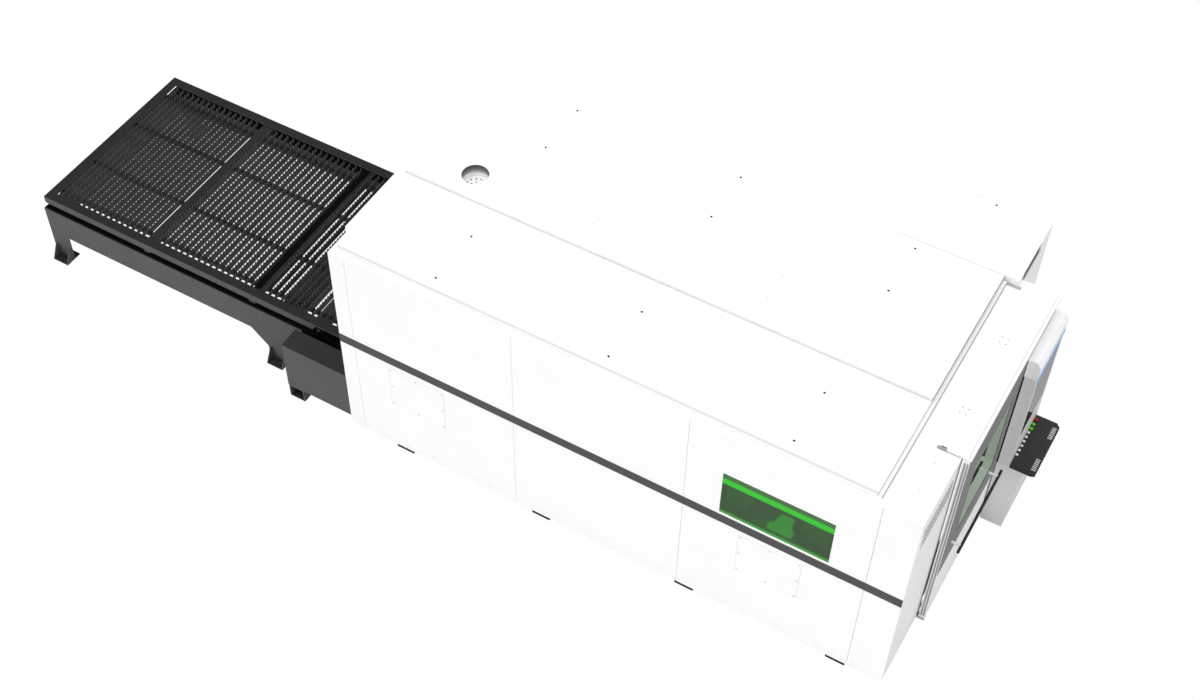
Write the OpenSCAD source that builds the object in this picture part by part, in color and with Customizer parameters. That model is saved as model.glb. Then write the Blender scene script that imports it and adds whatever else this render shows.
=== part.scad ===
// Enclosed sheet-metal laser cutting machine with an exchange table.
// The operator stands at +X, the exchange table leaves at -X, +Z is up.

/* [Cabin] */
// Length of the cutting cabin
cabin_l = 4660; // [4400:10:5000]
// Width of the cutting cabin
cabin_w = 2330; // [2310:10:2500]
// Height of the cabin walls above their lower edge
cabin_h = 2000; // [1900:10:2200]
// Height of the levelling feet under the walls
ground_gap = 50; // [40:1:80]
// Depth of the folded edges of the side sheets
fold_d = 25; // [20:1:30]
// Thickness of the cabin sheets
sheet_t = 4; // [3:0.5:6]
// Width of the seam between neighbouring sheets
seam_w = 2.5; // [2:0.5:8]
// Length of the rear corner sheet along the side
rear_return = 136; // [120:1:180]
// Length of the front corner sheet along the side
front_return = 281; // [240:1:320]
// Side of the square tubes of the cabin frame
tube_w = 80; // [60:1:90]

/* [Side trim] */
// Height of the dark stripe above the wall's lower edge
stripe_z = 1014; // [960:1:1040]
// Height of the dark stripe itself
stripe_h = 88; // [70:1:110]
// How far the stripe stands proud of the sheets
trim_t = 3; // [2:0.5:6]
// Length of an access cover
cover_l = 490; // [400:1:560]
// Height of an access cover
cover_h = 425; // [350:1:450]
// Height of the lower edge of an access cover above the wall's lower edge
cover_z = 528; // [480:1:550]
// Overlap of an access cover over its opening
cover_lap = 25; // [18:1:35]
// Radius of a cover screw's head
screw_r = 6; // [4:0.5:8]

/* [Side window] */
// Distance from the seams of its sheet to the side window
window_margin = 283; // [240:1:330]
// Height of the side window
window_h = 455; // [380:1:480]
// Height of the window's lower edge above the stripe
window_gap = 28; // [5:1:40]
// Thickness of the laser glass
glass_t = 8; // [5:1:10]

/* [Roof] */
// Width of the cap strip beside the left roof sheet
cap_w = 54; // [45:1:70]
// Width of the cap strip over the front wall
front_cap_w = 353; // [330:1:400]
// Share of the cabin's width in front of the seam between the roof sheets
roof_share = 0.407; // [0.36:0.001:0.42]
// Rise of the left roof sheet over the cap
roof_left_rise = 30; // [20:1:45]
// Rise of the right roof sheets over the cap
roof_right_rise = 60; // [50:1:80]
// Radius of the extraction port
port_r = 105; // [90:1:120]
// Depth of the extraction port below the roof sheet
port_d = 120; // [90:1:160]
// Distance of the extraction port from the cabin's rear face
port_x = 523; // [460:1:560]
// Radius of a lifting point's plug
plug_r = 13; // [9:1:18]
// Height of a lifting point's plug
plug_h = 4; // [3:0.5:8]

/* [Wing cabinet] */
// Length of the electrical cabinet behind the far side wall
wing_l = 960; // [800:10:1100]
// Depth of the electrical cabinet
wing_d = 590; // [500:10:700]
// Set-back of the cabinet from the cabin's front face
wing_back = 240; // [220:1:300]

/* [Front door] */
// Distance from the left wall to the door leaf
door_y = 630; // [600:1:660]
// Gap between the door leaf and the console
door_margin = 52; // [40:1:70]
// Thickness of the door leaf
door_t = 46; // [42:1:54]
// Gap between the front wall and the door leaf
door_gap = 16; // [14:1:20]
// Running gap round the door leaf
door_clear = 6; // [4:1:10]
// Height of the lower edge of the door's glass above the floor
glass_z = 910; // [880:1:960]
// Height of the door's glass
glass_h = 800; // [700:1:880]
// Distance from the leaf's left edge to the glass
glass_inset = 235; // [200:1:250]
// Distance from the glass to the leaf's edge beside the console
glass_far_inset = 125; // [100:1:160]
// Height of the dark frame's lower edge above the floor
frame_z = 660; // [620:1:700]
// Thickness of the dark frame on the leaf
frame_t = 3; // [2:0.5:5]
// Height of the header over the door
header_h = 45; // [40:1:60]
// Depth of the header behind the front face
header_back = 178; // [175:1:200]
// Distance from the header's far end to the far side wall
header_margin = 40; // [30:1:60]
// Radius of the door's pivot pins
pivot_r = 10; // [8:0.5:12]
// Radius of the handle's bar
bar_r = 11; // [9:0.5:15]
// Distance from the leaf's left edge to the handle's bar
bar_inset = 105; // [80:1:160]
// Distance from the handle's bar to the leaf's edge beside the console
bar_far_inset = 130; // [100:1:180]
// Distance from the door leaf to the axis of the handle's bar
bar_stand = 78; // [60:1:100]
// Height of the handle's bar above the floor
bar_z = 890; // [860:1:940]

/* [Console] */
// Distance from the console to the far side wall
console_margin = 30; // [20:1:40]
// Width of the console
console_w = 548; // [520:1:570]
// Gap between the fixed front panel and the console
console_gap = 12; // [8:1:20]
// Depth of the console's upper cabinet
console_d = 98; // [80:1:110]
// Depth of the console's pedestal at its top
pedestal_d = 203; // [180:1:215]
// Height of the pedestal
pedestal_h = 725; // [700:1:760]
// Height of the console
console_h = 1933; // [1900:1:1990]
// Height of the console's rounded cap
cap_h = 180; // [150:1:220]
// Depth of the keyboard tray
tray_d = 198; // [160:1:205]
// Thickness of the keyboard tray
tray_t = 40; // [32:1:55]
// Radius of a push-button
button_r = 11; // [8:0.5:12]
// Pitch of the push-buttons along the tray
button_pitch = 48; // [40:1:52]

/* [Gantry] */
// Height of the bed's side walls
bed_h = 920; // [890:1:950]
// Width of the gantry beam along X
beam_w = 320; // [280:1:360]
// Height of the gantry beam
beam_h = 280; // [240:1:320]
// Distance from the cabin's front face to the gantry beam's middle
gantry_x = 1050; // [950:1:1150]
// Height of the nozzle's tip over the pallet
nozzle_gap = 150; // [145:1:180]

/* [Exchange table] */
// Length of the pallet
pallet_l = 3250; // [3100:10:3350]
// Distance from the cabin's side faces to the pallet
pallet_side = 290; // [280:1:330]
// Height of the pallet's top above the floor
pallet_z = 650; // [640:1:700]
// Width of the pallet's top flange
flange_w = 80; // [74:1:90]
// Height of the pallet's side lip
lip_h = 70; // [60:1:72]
// Distance between the cabin's rear wall and the pallet
pallet_gap = 60; // [50:1:90]
// Pitch of the slats
slat_pitch = 58; // [54:1:70]
// Height of a slat
slat_h = 77; // [60:1:85]
// Thickness of a slat
slat_t = 5; // [3:0.5:6]
// Pitch of a slat's teeth
tooth_pitch = 58; // [54:1:70]
// Depth of a slat's teeth
tooth_d = 26; // [16:1:28]
// Radius of a pallet wheel
wheel_r = 45; // [40:1:48]
// Width of a pallet wheel
wheel_w = 36; // [28:1:40]
// Height of the base frame's side plates
side_h = 280; // [250:1:300]
// Thickness of the base frame's side plates
side_t = 10; // [8:1:14]
// Width of a table leg
leg_w = 190; // [160:1:220]
// Length of the drive box
drive_l = 620; // [540:1:640]
// Height of the drive box
drive_h = 495; // [440:1:500]
// Height of the drive box above the floor
drive_z = 135; // [120:1:150]
// Depth of the drive box, from its outer face towards the table
drive_w = 190; // [170:1:200]

/* [Hidden] */
$fn = 48;

// Colours of the finishes
white_c = [0.94, 0.94, 0.94];
steel_c = [0.62, 0.64, 0.66];
dark_c = [0.22, 0.22, 0.22];
black_c = [0.05, 0.05, 0.05];
green_c = [0.15, 0.42, 0.14, 0.6];

// Gap that keeps a moving piece clear of the piece that carries it
run_gap = 0.3;
// Radial play of a pin in its bore
pin_play = 0.05;
// Overshoot of a cutting body past the surface it cuts
cut = 1;

// Main levels and planes of the cabin, with the front face at x = 0 and the left face at y = 0
wall_z = ground_gap;
cap_z = ground_gap + cabin_h;
wall_top = cap_z - sheet_t;
rear_x = -cabin_l;
mid_y = cabin_w / 2;
bay_l = (cabin_l - rear_return - front_return) / 3;
bay_x = [for (i = [0 : 3]) rear_x + rear_return + i * bay_l];
tube_y = fold_d;

// Levels of the roof sheets and the wing cabinet
roof_left_z = cap_z + roof_left_rise;
roof_right_z = cap_z + roof_right_rise;
roof_x0 = rear_x + cap_w - 14;
roof_x1 = -front_cap_w;
roof_seam_y = roof_share * cabin_w;
roof_y1 = cabin_w - cap_w - 30;
wing_x0 = -wing_back - wing_l;
wing_x1 = -wing_back;
wing_y1 = cabin_w + wing_d;

// Planes of the side window
win_x0 = bay_x[2] + window_margin;
win_x1 = bay_x[3] - window_margin;
win_z0 = wall_z + stripe_z + stripe_h + window_gap;
win_z1 = win_z0 + window_h;

// Planes of the exchange table
pallet_x1 = rear_x - pallet_gap;
pallet_x0 = pallet_x1 - pallet_l;
pallet_y0 = pallet_side;
pallet_y1 = cabin_w - pallet_side;
pallet_w = pallet_y1 - pallet_y0;
side_y0 = pallet_y0 - 30;
side_y1 = pallet_y1 + 30;
inner_y0 = side_y0 + side_t;
inner_y1 = side_y1 - side_t;
axle_z = pallet_z - 60;
rail_z = axle_z - wheel_r - run_gap;
rail_t = 12;
rail_drop = 60;
side_top = rail_z - 5;
side_bottom = side_top - side_h;
drive_x0 = rear_x - drive_l;
base_x1 = drive_x0 - 8;
leg_x = base_x1 - 389;
foot_t = 8;
slat_z0 = pallet_z - slat_h;
bar_h = 30;
bar_w = 30;
pallet_web = 6;
rest_in = flange_w + 85;
axle_r = 12;
axle_x = [pallet_x0 + 420, pallet_x1 - 420];
cross_w = 60;
cross_x = [for (i = [1 : 2]) pallet_x0 + i * pallet_l / 3];

// Planes of the bed and the gantry
bed_w = 150;
bed_x0 = rear_x + 160;
bed_x1 = -500;
bed_y0 = inner_y0 - bed_w;
bed_y1 = inner_y1 + bed_w;
chord_h = 170;
guide_w = 40;
guide_h = 30;
guide_y0 = bed_y0 + bed_w / 2;
guide_y1 = bed_y1 - bed_w / 2;
saddle_h = 60;
beam_z = bed_h + guide_h + run_gap + saddle_h;
carriage_w = 260;
carriage_t = 60;
head_r = 55;

// Planes of the front door, its header and the console
leaf_x0 = door_gap;
leaf_x1 = door_gap + door_t;
console_y1 = cabin_w - console_margin;
console_y = console_y1 - console_w;
header_end_y = cabin_w - header_margin;
leaf_y1 = console_y - door_margin;
leaf_z0 = wall_z + 30;
leaf_z1 = cap_z - door_clear;
pivot_x = door_gap + door_t / 2;
pivot_y = door_y + door_t / 2;
pivot_depth = 32;
header_x1 = leaf_x1 + 8;
header_top = cap_z + header_h;
bar_x = leaf_x1 + bar_stand;
bar_y0 = door_y + bar_inset;
bar_l = leaf_y1 - bar_far_inset - bar_y0;
post_r = 10;
post_inset = 65;
glass_y0 = door_y + glass_inset;
glass_w = leaf_y1 - glass_far_inset - glass_y0;
fixed_x1 = leaf_x1 - 12;
console_x = fixed_x1 + console_gap;
tray_x = console_x + console_d;
tray_top = pedestal_h + tray_t;
lamp_count = 6;
button_y1 = console_y1 - 60;
button_x = tray_x + 17;

// Row frame: floor level, middle of the whole footprint
place_x = -(pallet_x0 + tray_x + tray_d) / 2;
place_y = -(wing_y1 - trim_t) / 2;

// A box between its low and high corners
module block(lo, hi) {
    translate(lo) cube(hi - lo);
}

// A folded wall sheet: outer skin at y_skin, edges folded towards dir
module wall_tray(x0, x1, z0, z1, y_skin, dir) {
    y0 = min(y_skin, y_skin + dir * fold_d);
    difference() {
        block([x0, y0, z0], [x1, y0 + fold_d, z1]);
        block([x0 + sheet_t, y0 + (dir > 0 ? sheet_t : -cut), z0 + sheet_t],
              [x1 - sheet_t, y0 + fold_d + (dir > 0 ? cut : -sheet_t), z1 - sheet_t]);
    }
}

// A folded roof sheet resting on the frame, open underneath
module roof_tray(x0, x1, y0, y1, top) {
    difference() {
        block([x0, y0, wall_top], [x1, y1, top]);
        block([x0 + sheet_t, y0 + sheet_t, wall_top - cut], [x1 - sheet_t, y1 - sheet_t, top - sheet_t]);
    }
}

// A wheel, pin or button body along +Y
module along_y(r, l) {
    rotate([-90, 0, 0]) cylinder(r = r, h = l);
}

// A rod along +X
module along_x(r, l) {
    rotate([0, 90, 0]) cylinder(r = r, h = l);
}

// Left edges of the two access covers
cover_x = [bay_x[0] + 304, bay_x[2] + 456];

// Opening behind an access cover, cut through the side sheet
module cover_opening(i) {
    block([cover_x[i] + cover_lap, -cut, wall_z + cover_z + cover_lap],
          [cover_x[i] + cover_l - cover_lap, fold_d + cut, wall_z + cover_z + cover_h - cover_lap]);
}

// Bed side walls with openings between their posts, joined by cross members
module machine_bed() {
    posts = 6;
    post_w = 220;
    step = (bed_x1 - bed_x0 - post_w) / (posts - 1);
    cross_h = 120;
    color(steel_c) {
        for (y = [bed_y0, bed_y1 - bed_w]) {
            block([bed_x0, y, wall_z], [bed_x1, y + bed_w, wall_z + chord_h]);
            block([bed_x0, y, bed_h - chord_h], [bed_x1, y + bed_w, bed_h]);
            for (i = [0 : posts - 1])
                block([bed_x0 + i * step, y, wall_z + chord_h],
                      [bed_x0 + i * step + post_w, y + bed_w, bed_h - chord_h]);
        }
        for (i = [0 : posts - 1])
            block([bed_x0 + i * step, bed_y0 + bed_w, wall_z + 10],
                  [bed_x0 + i * step + cross_h, bed_y1 - bed_w, wall_z + 10 + cross_h]);
    }
}

// Black pads under both long sides, carrying the frame and the bed
module levelling_feet() {
    pads = 4;
    pad_l = 155;
    pad_y = 12;
    pad_in = bed_y0 + bed_w - 20;
    first = rear_x + 430;
    step = (cabin_l - 430 - 450) / (pads - 1);
    color(black_c)
        for (i = [0 : pads - 1]) {
            block([first + i * step, pad_y, 0], [first + i * step + pad_l, pad_in, ground_gap]);
            block([first + i * step, cabin_w - pad_in, 0], [first + i * step + pad_l, cabin_w - pad_y, ground_gap]);
        }
}

// Square tubes along X, one on each long side
module long_tubes(z) {
    for (y = [tube_y, cabin_w - tube_y - tube_w])
        block([rear_x + fold_d, y, z], [-fold_d, y + tube_w, z + tube_w]);
}

// Tube frame of the cabin: rails, posts at the bay seams and roof beams
module enclosure_frame() {
    top = wall_top - tube_w;
    post_x = [rear_x + fold_d, bay_x[1] - tube_w / 2, bay_x[2] - tube_w / 2, -fold_d - tube_w];
    color(steel_c) {
        long_tubes(wall_z);
        long_tubes(top);
        for (x = post_x) {
            for (y = [tube_y, cabin_w - tube_y - tube_w])
                block([x, y, wall_z + tube_w], [x + tube_w, y + tube_w, top]);
            block([x, tube_y + tube_w, top], [x + tube_w, cabin_w - tube_y - tube_w, top + tube_w]);
        }
        for (x = [post_x[0], post_x[3]])
            block([x, tube_y + tube_w, wall_z], [x + tube_w, cabin_w - tube_y - tube_w, wall_z + tube_w]);
        block([rear_x + fold_d + tube_w, roof_seam_y - tube_w / 2, top],
              [-fold_d - tube_w, roof_seam_y + tube_w / 2, top + tube_w]);
    }
}

// One bay of the left side, between two seams
module left_bay(i) {
    wall_tray(bay_x[i] + seam_w / 2, bay_x[i + 1] - seam_w / 2, wall_z, wall_top, 0, 1);
}

module left_panel_rear() {
    color(white_c) difference() {
        left_bay(0);
        cover_opening(0);
    }
}

module left_panel_middle() {
    color(white_c) left_bay(1);
}

module left_panel_front() {
    color(white_c) difference() {
        left_bay(2);
        cover_opening(1);
        block([win_x0, -cut, win_z0], [win_x1, fold_d + cut, win_z1]);
    }
}

// Dark trim band along the whole left side
module left_stripe() {
    color(dark_c) block([rear_x, -trim_t, wall_z + stripe_z], [0, 0, wall_z + stripe_z + stripe_h]);
}

// Green laser glass, seated in the opening of the front side sheet
module left_window() {
    color(green_c)
        block([win_x0 + run_gap, 0, win_z0 + run_gap], [win_x1 - run_gap, glass_t, win_z1 - run_gap]);
}

// White retainer behind the glass, with a deep upper rail
module window_frame() {
    lap = 30;
    upper = 95;
    lower = 10;
    color(white_c) difference() {
        block([win_x0 + run_gap, glass_t, win_z0 + run_gap], [win_x1 - run_gap, fold_d + 12, win_z1 - run_gap]);
        block([win_x0 + lap, glass_t - cut, win_z0 + lower], [win_x1 - lap, fold_d + 12 + cut, win_z1 - upper]);
    }
}

// Flat cover plate screwed over a service opening
module access_cover(i) {
    color(white_c)
        block([cover_x[i], -trim_t / 2, wall_z + cover_z], [cover_x[i] + cover_l, 0, wall_z + cover_z + cover_h]);
}

module access_cover_rear() {
    access_cover(0);
}

module access_cover_front() {
    access_cover(1);
}

// Eight screw heads on each access cover: corners and middles
module cover_screws() {
    edge = 14;
    color(steel_c)
        for (x = cover_x, i = [0 : 2], j = [0 : 2])
            if (i != 1 || j != 1)
                translate([x + edge + i * (cover_l - 2 * edge) / 2, -trim_t,
                           wall_z + cover_z + edge + j * (cover_h - 2 * edge) / 2])
                    along_y(screw_r, trim_t / 2);
}

module right_panel_rear() {
    color(white_c) wall_tray(bay_x[0] + seam_w / 2, bay_x[1] - seam_w / 2, wall_z, wall_top, cabin_w, -1);
}

module right_panel_front() {
    color(white_c) wall_tray(bay_x[1] + seam_w / 2, wing_x0 - seam_w, wall_z, wall_top, cabin_w, -1);
}

// Rear wall folded round both corners, with the doorway of the pallet
module rear_wall() {
    door_lo = side_bottom - 20;
    door_hi = pallet_z + 260;
    color(white_c) difference() {
        block([rear_x, 0, wall_z], [bay_x[0] - seam_w / 2, cabin_w, wall_top]);
        block([rear_x + sheet_t, sheet_t, wall_z - cut], [bay_x[0], cabin_w - sheet_t, wall_top + cut]);
        block([rear_x - cut, side_y0 - 10, door_lo], [rear_x + sheet_t + cut, side_y1 + 10, door_hi]);
    }
}

// Shallow hood high on the rear wall
module rear_hood() {
    hood_w = pallet_w + 30;
    hood_t = 38;
    hood_h = 230;
    color(white_c) difference() {
        block([rear_x - hood_t, mid_y - hood_w / 2, cap_z - hood_h], [rear_x, mid_y + hood_w / 2, cap_z]);
        block([rear_x - hood_t + sheet_t, mid_y - hood_w / 2 + sheet_t, cap_z - hood_h - cut],
              [rear_x + cut, mid_y + hood_w / 2 - sheet_t, cap_z - sheet_t]);
    }
}

// Front wall folded round the left corner, with the door opening and a vent in the column
module front_wall() {
    lap = 50;
    slots = 13;
    slot_w = 18;
    slot_pitch = (door_y - 174) / (slots - 1);
    slot_z = cap_z - 390;
    slot_h = 230;
    color(white_c) difference() {
        union() {
            block([-sheet_t, 0, wall_z], [0, cabin_w, wall_top]);
            block([bay_x[3] + seam_w / 2, 0, wall_z], [0, sheet_t, wall_top]);
            block([-wing_back, cabin_w - sheet_t, wall_z], [0, cabin_w, wall_top]);
        }
        block([-sheet_t - cut, door_y + lap, leaf_z0 + lap], [cut, leaf_y1 - lap, leaf_z1 - lap]);
        for (i = [0 : slots - 1])
            block([-sheet_t - cut, 90 + i * slot_pitch, slot_z], [cut, 90 + i * slot_pitch + slot_w, slot_z + slot_h]);
    }
}

// Fixed panel beside the door leaf, behind the console
module front_fixed_panel() {
    color(white_c) difference() {
        block([0, leaf_y1 + door_clear, leaf_z0], [fixed_x1, header_end_y, cap_z]);
        block([-cut, leaf_y1 + door_clear + sheet_t, leaf_z0 + sheet_t],
              [fixed_x1 - sheet_t, header_end_y - sheet_t, cap_z - sheet_t]);
    }
}

// Flat cap round the roof, lying on the walls and the frame
module roof_cap() {
    color(white_c) difference() {
        block([rear_x, 0, wall_top], [0, cabin_w, cap_z]);
        block([roof_x0 - seam_w, cap_w - seam_w, wall_top - cut],
              [roof_x1 + seam_w, roof_y1 + seam_w, cap_z + cut]);
    }
}

module roof_left() {
    color(white_c) roof_tray(roof_x0, roof_x1, cap_w, roof_seam_y - seam_w / 2, roof_left_z);
}

// One sheet of the right roof, between two bay seams
module roof_right(x0, x1) {
    roof_tray(x0, x1, roof_seam_y + seam_w / 2, roof_y1, roof_right_z);
}

module roof_right_rear() {
    color(white_c) difference() {
        roof_right(roof_x0, bay_x[1] - seam_w / 2);
        translate([rear_x + port_x, mid_y, wall_top]) cylinder(r = port_r + sheet_t + run_gap, h = cabin_h);
    }
}

module roof_right_middle() {
    color(white_c) roof_right(bay_x[1] + seam_w / 2, bay_x[2] - seam_w / 2);
}

module roof_right_front() {
    color(white_c) roof_right(bay_x[2] + seam_w / 2, roof_x1);
}

// Dark plugs that close the lifting points of the roof sheets
module roof_plugs() {
    edge = 114;
    rows_left = [cap_w + edge, cap_w + edge + (roof_seam_y - cap_w) * 0.525];
    rows_right = [roof_seam_y + (roof_y1 - roof_seam_y) * 0.565, roof_y1 - edge * 0.8];
    color(black_c) {
        for (i = [0 : 2]) {
            x = (bay_x[i] + bay_x[i + 1]) / 2 - 20;
            for (y = rows_left)
                translate([x, y, roof_left_z]) cylinder(r = plug_r, h = plug_h);
            for (y = rows_right)
                translate([x, y, roof_right_z]) cylinder(r = plug_r, h = plug_h);
        }
        translate([(wing_x0 + wing_x1) / 2 + 55, wing_y1 - 52, roof_right_z]) cylinder(r = plug_r, h = plug_h);
    }
}

// Spun extraction port: flanged cup with a perforated bottom
module fume_port() {
    lip = 10;
    hole_r = 7;
    rings = [[6, 40], [12, 75]];
    color(white_c) translate([rear_x + port_x, mid_y, roof_right_z])
        difference() {
            rotate_extrude()
                polygon([[0, -port_d], [port_r + sheet_t, -port_d], [port_r + sheet_t, 0], [port_r + lip, 0],
                         [port_r + lip, sheet_t / 2], [port_r, sheet_t / 2], [port_r, -port_d + sheet_t],
                         [0, -port_d + sheet_t]]);
            for (ring = rings, i = [0 : ring[0] - 1])
                rotate(i * 360 / ring[0]) translate([ring[1], 0, -port_d - cut])
                    cylinder(r = hole_r, h = sheet_t + 2 * cut);
        }
}

// Electrical cabinet: sheet box with its service opening at the back
module wing_cabinet() {
    lap = 40;
    slots = 2;
    slot_h = 12;
    slot_pitch = 28;
    tongue = cap_w + 26;
    color(white_c) difference() {
        union() {
            block([wing_x0, cabin_w, wall_z], [wing_x1, wing_y1 - fold_d - run_gap, roof_right_z]);
            block([wing_x0, cabin_w - tongue, cap_z], [wing_x1, cabin_w, roof_right_z]);
        }
        block([wing_x0 + sheet_t, cabin_w + sheet_t, wall_z + sheet_t],
              [wing_x1 - sheet_t, wing_y1, roof_right_z - sheet_t]);
        for (i = [0 : slots - 1])
            block([wing_x1 - sheet_t - cut, cabin_w + 2 * lap, cap_z - 60 - i * slot_pitch],
                  [wing_x1 + cut, wing_y1 - fold_d - 3 * lap, cap_z - 60 - i * slot_pitch + slot_h]);
    }
}

// Hinged service door of the electrical cabinet
module wing_door() {
    color(white_c) difference() {
        block([wing_x0, wing_y1 - fold_d, wall_z], [wing_x1, wing_y1, roof_right_z - sheet_t]);
        block([wing_x0 - cut, wing_y1 - 14, cap_z / 2 - 60], [wing_x0 + 14, wing_y1 + cut, cap_z / 2 + 60]);
        block([wing_x1 - 12, wing_y1 - fold_d - cut, 0], [wing_x1 + cut, wing_y1 - fold_d + 7, roof_right_z]);
        for (z = [wall_z - cut, roof_right_z - sheet_t - pivot_depth])
            translate([wing_x1 - 5, wing_y1 - 3, z]) cylinder(r = 2, h = pivot_depth + cut);
    }
}

// Mounting plate of the electrical cabinet with its control modules
module control_plate() {
    plate_t = 6;
    inset = 90;
    y = cabin_w + sheet_t;
    rows = 3;
    cols = 4;
    plate_z = wall_z + 0.1 * cabin_h;
    module_d = 0.22 * wing_d;
    module_w = (wing_l - 2 * inset) / cols;
    module_h = 0.25 * cabin_h;
    gap = 0.02 * wing_l;
    color(steel_c) {
        block([wing_x0 + inset, y, plate_z], [wing_x1 - inset, y + plate_t, plate_z + rows * module_h]);
        for (i = [0 : cols - 1], j = [0 : rows - 1])
            block([wing_x0 + inset + i * module_w + gap, y + plate_t, plate_z + j * module_h + 3 * gap],
                  [wing_x0 + inset + (i + 1) * module_w - gap, y + plate_t + module_d,
                   plate_z + (j + 1) * module_h - 3 * gap]);
    }
}

// Header over the door and the console, with a cable channel along it
module door_header() {
    channel_x0 = -152;
    channel_w = 42;
    channel_l = leaf_y1 - door_y + 10;
    lip = 12;
    groove_x = header_x1 - 28;
    groove_w = 10;
    color(white_c) difference() {
        block([-header_back, door_y, cap_z], [header_x1, header_end_y, header_top]);
        block([channel_x0, door_y - cut, cap_z - cut], [channel_x0 + channel_w, door_y + channel_l, header_top - 8]);
        block([lip, door_y + door_t + lip, cap_z - cut], [header_x1 - lip, header_end_y - lip, header_top - 2 * lip]);
        block([groove_x, door_y - cut, header_top - lip], [groove_x + groove_w, header_end_y + cut, header_top + cut]);
    }
}

// Two groups of four bolts on the header
module header_bolts() {
    head_h = 3;
    rows = [door_y + 338, leaf_y1 - 17];
    color(steel_c)
        for (y = rows, dx = [-22, 22], dy = [-26, 26])
            translate([-131 + dx, y + dy, header_top]) cylinder(r = 6, h = head_h);
}

// Pivot pins of the door: the lower one on a bracket at the wall, the upper one under the header
module door_pivots() {
    color(steel_c) {
        block([0, door_y, wall_z], [leaf_x1, door_y + door_t, leaf_z0 - run_gap]);
        translate([pivot_x, pivot_y, leaf_z0 - run_gap]) cylinder(r = pivot_r, h = pivot_depth);
        translate([pivot_x, pivot_y, cap_z - pivot_depth]) cylinder(r = pivot_r, h = pivot_depth);
    }
}

// White door leaf with the opening of its window
module front_door() {
    color(white_c) difference() {
        block([leaf_x0, door_y, leaf_z0], [leaf_x1, leaf_y1, leaf_z1]);
        block([leaf_x0 - cut, glass_y0, glass_z], [leaf_x1 + cut, glass_y0 + glass_w, glass_z + glass_h]);
        for (z = [leaf_z0 - cut, leaf_z1 - pivot_depth])
            translate([pivot_x, pivot_y, z]) cylinder(r = pivot_r + pin_play, h = pivot_depth + cut);
    }
}

// Dark frame plate on the upper part of the leaf, open at the glass
module door_window_frame() {
    edge = 4;
    lap = 10;
    color([0.5, 0.5, 0.5]) difference() {
        block([leaf_x1, door_y + edge, frame_z], [leaf_x1 + frame_t, leaf_y1 - edge, leaf_z1 - edge]);
        block([leaf_x1 - cut, glass_y0 + lap, glass_z + lap],
              [leaf_x1 + frame_t + cut, glass_y0 + glass_w - lap, glass_z + glass_h - lap]);
        for (y = [bar_y0 + post_inset, bar_y0 + bar_l - post_inset])
            translate([leaf_x1 - cut, y, bar_z]) along_x(post_r + run_gap, frame_t + 2 * cut);
    }
}

// Tinted glass of the door, behind the dark frame
module door_glass() {
    color([0.55, 0.65, 0.55, 0.6])
        block([leaf_x1 - glass_t, glass_y0 + run_gap, glass_z + run_gap],
              [leaf_x1, glass_y0 + glass_w - run_gap, glass_z + glass_h - run_gap]);
}

// Two posts that carry the handle's bar
module handle_posts() {
    color(white_c)
        for (y = [bar_y0 + post_inset, bar_y0 + bar_l - post_inset])
            difference() {
                translate([leaf_x1, y, bar_z]) along_x(post_r, bar_stand);
                translate([bar_x, y - 2 * post_r, bar_z]) along_y(bar_r, 4 * post_r);
            }
}

// Black bar of the handle
module handle_bar() {
    color(black_c) translate([bar_x, bar_y0, bar_z]) along_y(bar_r, bar_l);
}

// Pedestal of the console, its front leaning back towards the floor
module console_pedestal() {
    toe = 25;
    color([0.86, 0.86, 0.86])
        translate([0, console_y1, 0]) rotate([90, 0, 0])
            linear_extrude(console_w)
                polygon([[console_x, 0], [console_x + pedestal_d - toe, 0], [console_x + pedestal_d, pedestal_h],
                         [console_x, pedestal_h]]);
}

// Slim upper cabinet of the console, with the recess of its screen and a spine to the front panel
module console_cabinet() {
    spine_in = 60;
    color([0.84, 0.84, 0.84]) difference() {
        union() {
            block([console_x, console_y, pedestal_h], [console_x + console_d, console_y1, console_h - cap_h]);
            block([fixed_x1, console_y + spine_in, pedestal_h + spine_in],
                  [console_x, header_end_y - spine_in, console_h - cap_h - spine_in]);
        }
        screen_body(run_gap, cut);
    }
}

// Screen's body, grown by a gap at its edges and forwards
module screen_body(gap, proud) {
    edge = 0.07 * console_w;
    recess = 0.12 * console_d;
    z0 = tray_top + 0.3 * (console_h - cap_h - tray_top);
    block([console_x + console_d - recess - gap, console_y + edge - gap, z0 - gap],
          [console_x + console_d + proud, console_y1 - edge + gap, console_h - cap_h - edge + gap]);
}

module console_screen() {
    color(black_c) screen_body(0, 0);
}

// Cap of the console with a bevelled front edge
module console_cap() {
    bevel_x = 30;
    bevel_z = 45;
    front = console_x + console_d;
    z0 = console_h - cap_h;
    color(white_c)
        translate([0, console_y1, 0]) rotate([90, 0, 0])
            linear_extrude(console_w)
                polygon([[console_x, z0], [front, z0], [front, console_h - bevel_z],
                         [front - bevel_x, console_h], [console_x, console_h]]);
}

// Light strip along the cap's lower front edge
module console_light() {
    strip_w = 26;
    strip_t = 6;
    front = console_x + console_d;
    z0 = console_h - cap_h;
    color([0.5, 0.73, 0.93])
        block([front, console_y, z0], [front + strip_t, console_y1, z0 + strip_w]);
}

// Keyboard tray on the pedestal, with cut front corners and bores for the push-buttons
module keyboard_tray() {
    corner = 30;
    front = tray_x + tray_d;
    color(black_c) difference() {
        translate([0, 0, pedestal_h]) linear_extrude(tray_t)
            polygon([[tray_x, console_y], [front - corner, console_y], [front, console_y + corner / 2],
                     [front, console_y1 - corner], [front - corner, console_y1], [tray_x, console_y1]]);
        for (i = [0 : 2])
            translate([button_x, button_y1 - i * button_pitch, pedestal_h + 8])
                cylinder(r = button_r + run_gap, h = tray_t);
    }
}

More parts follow.
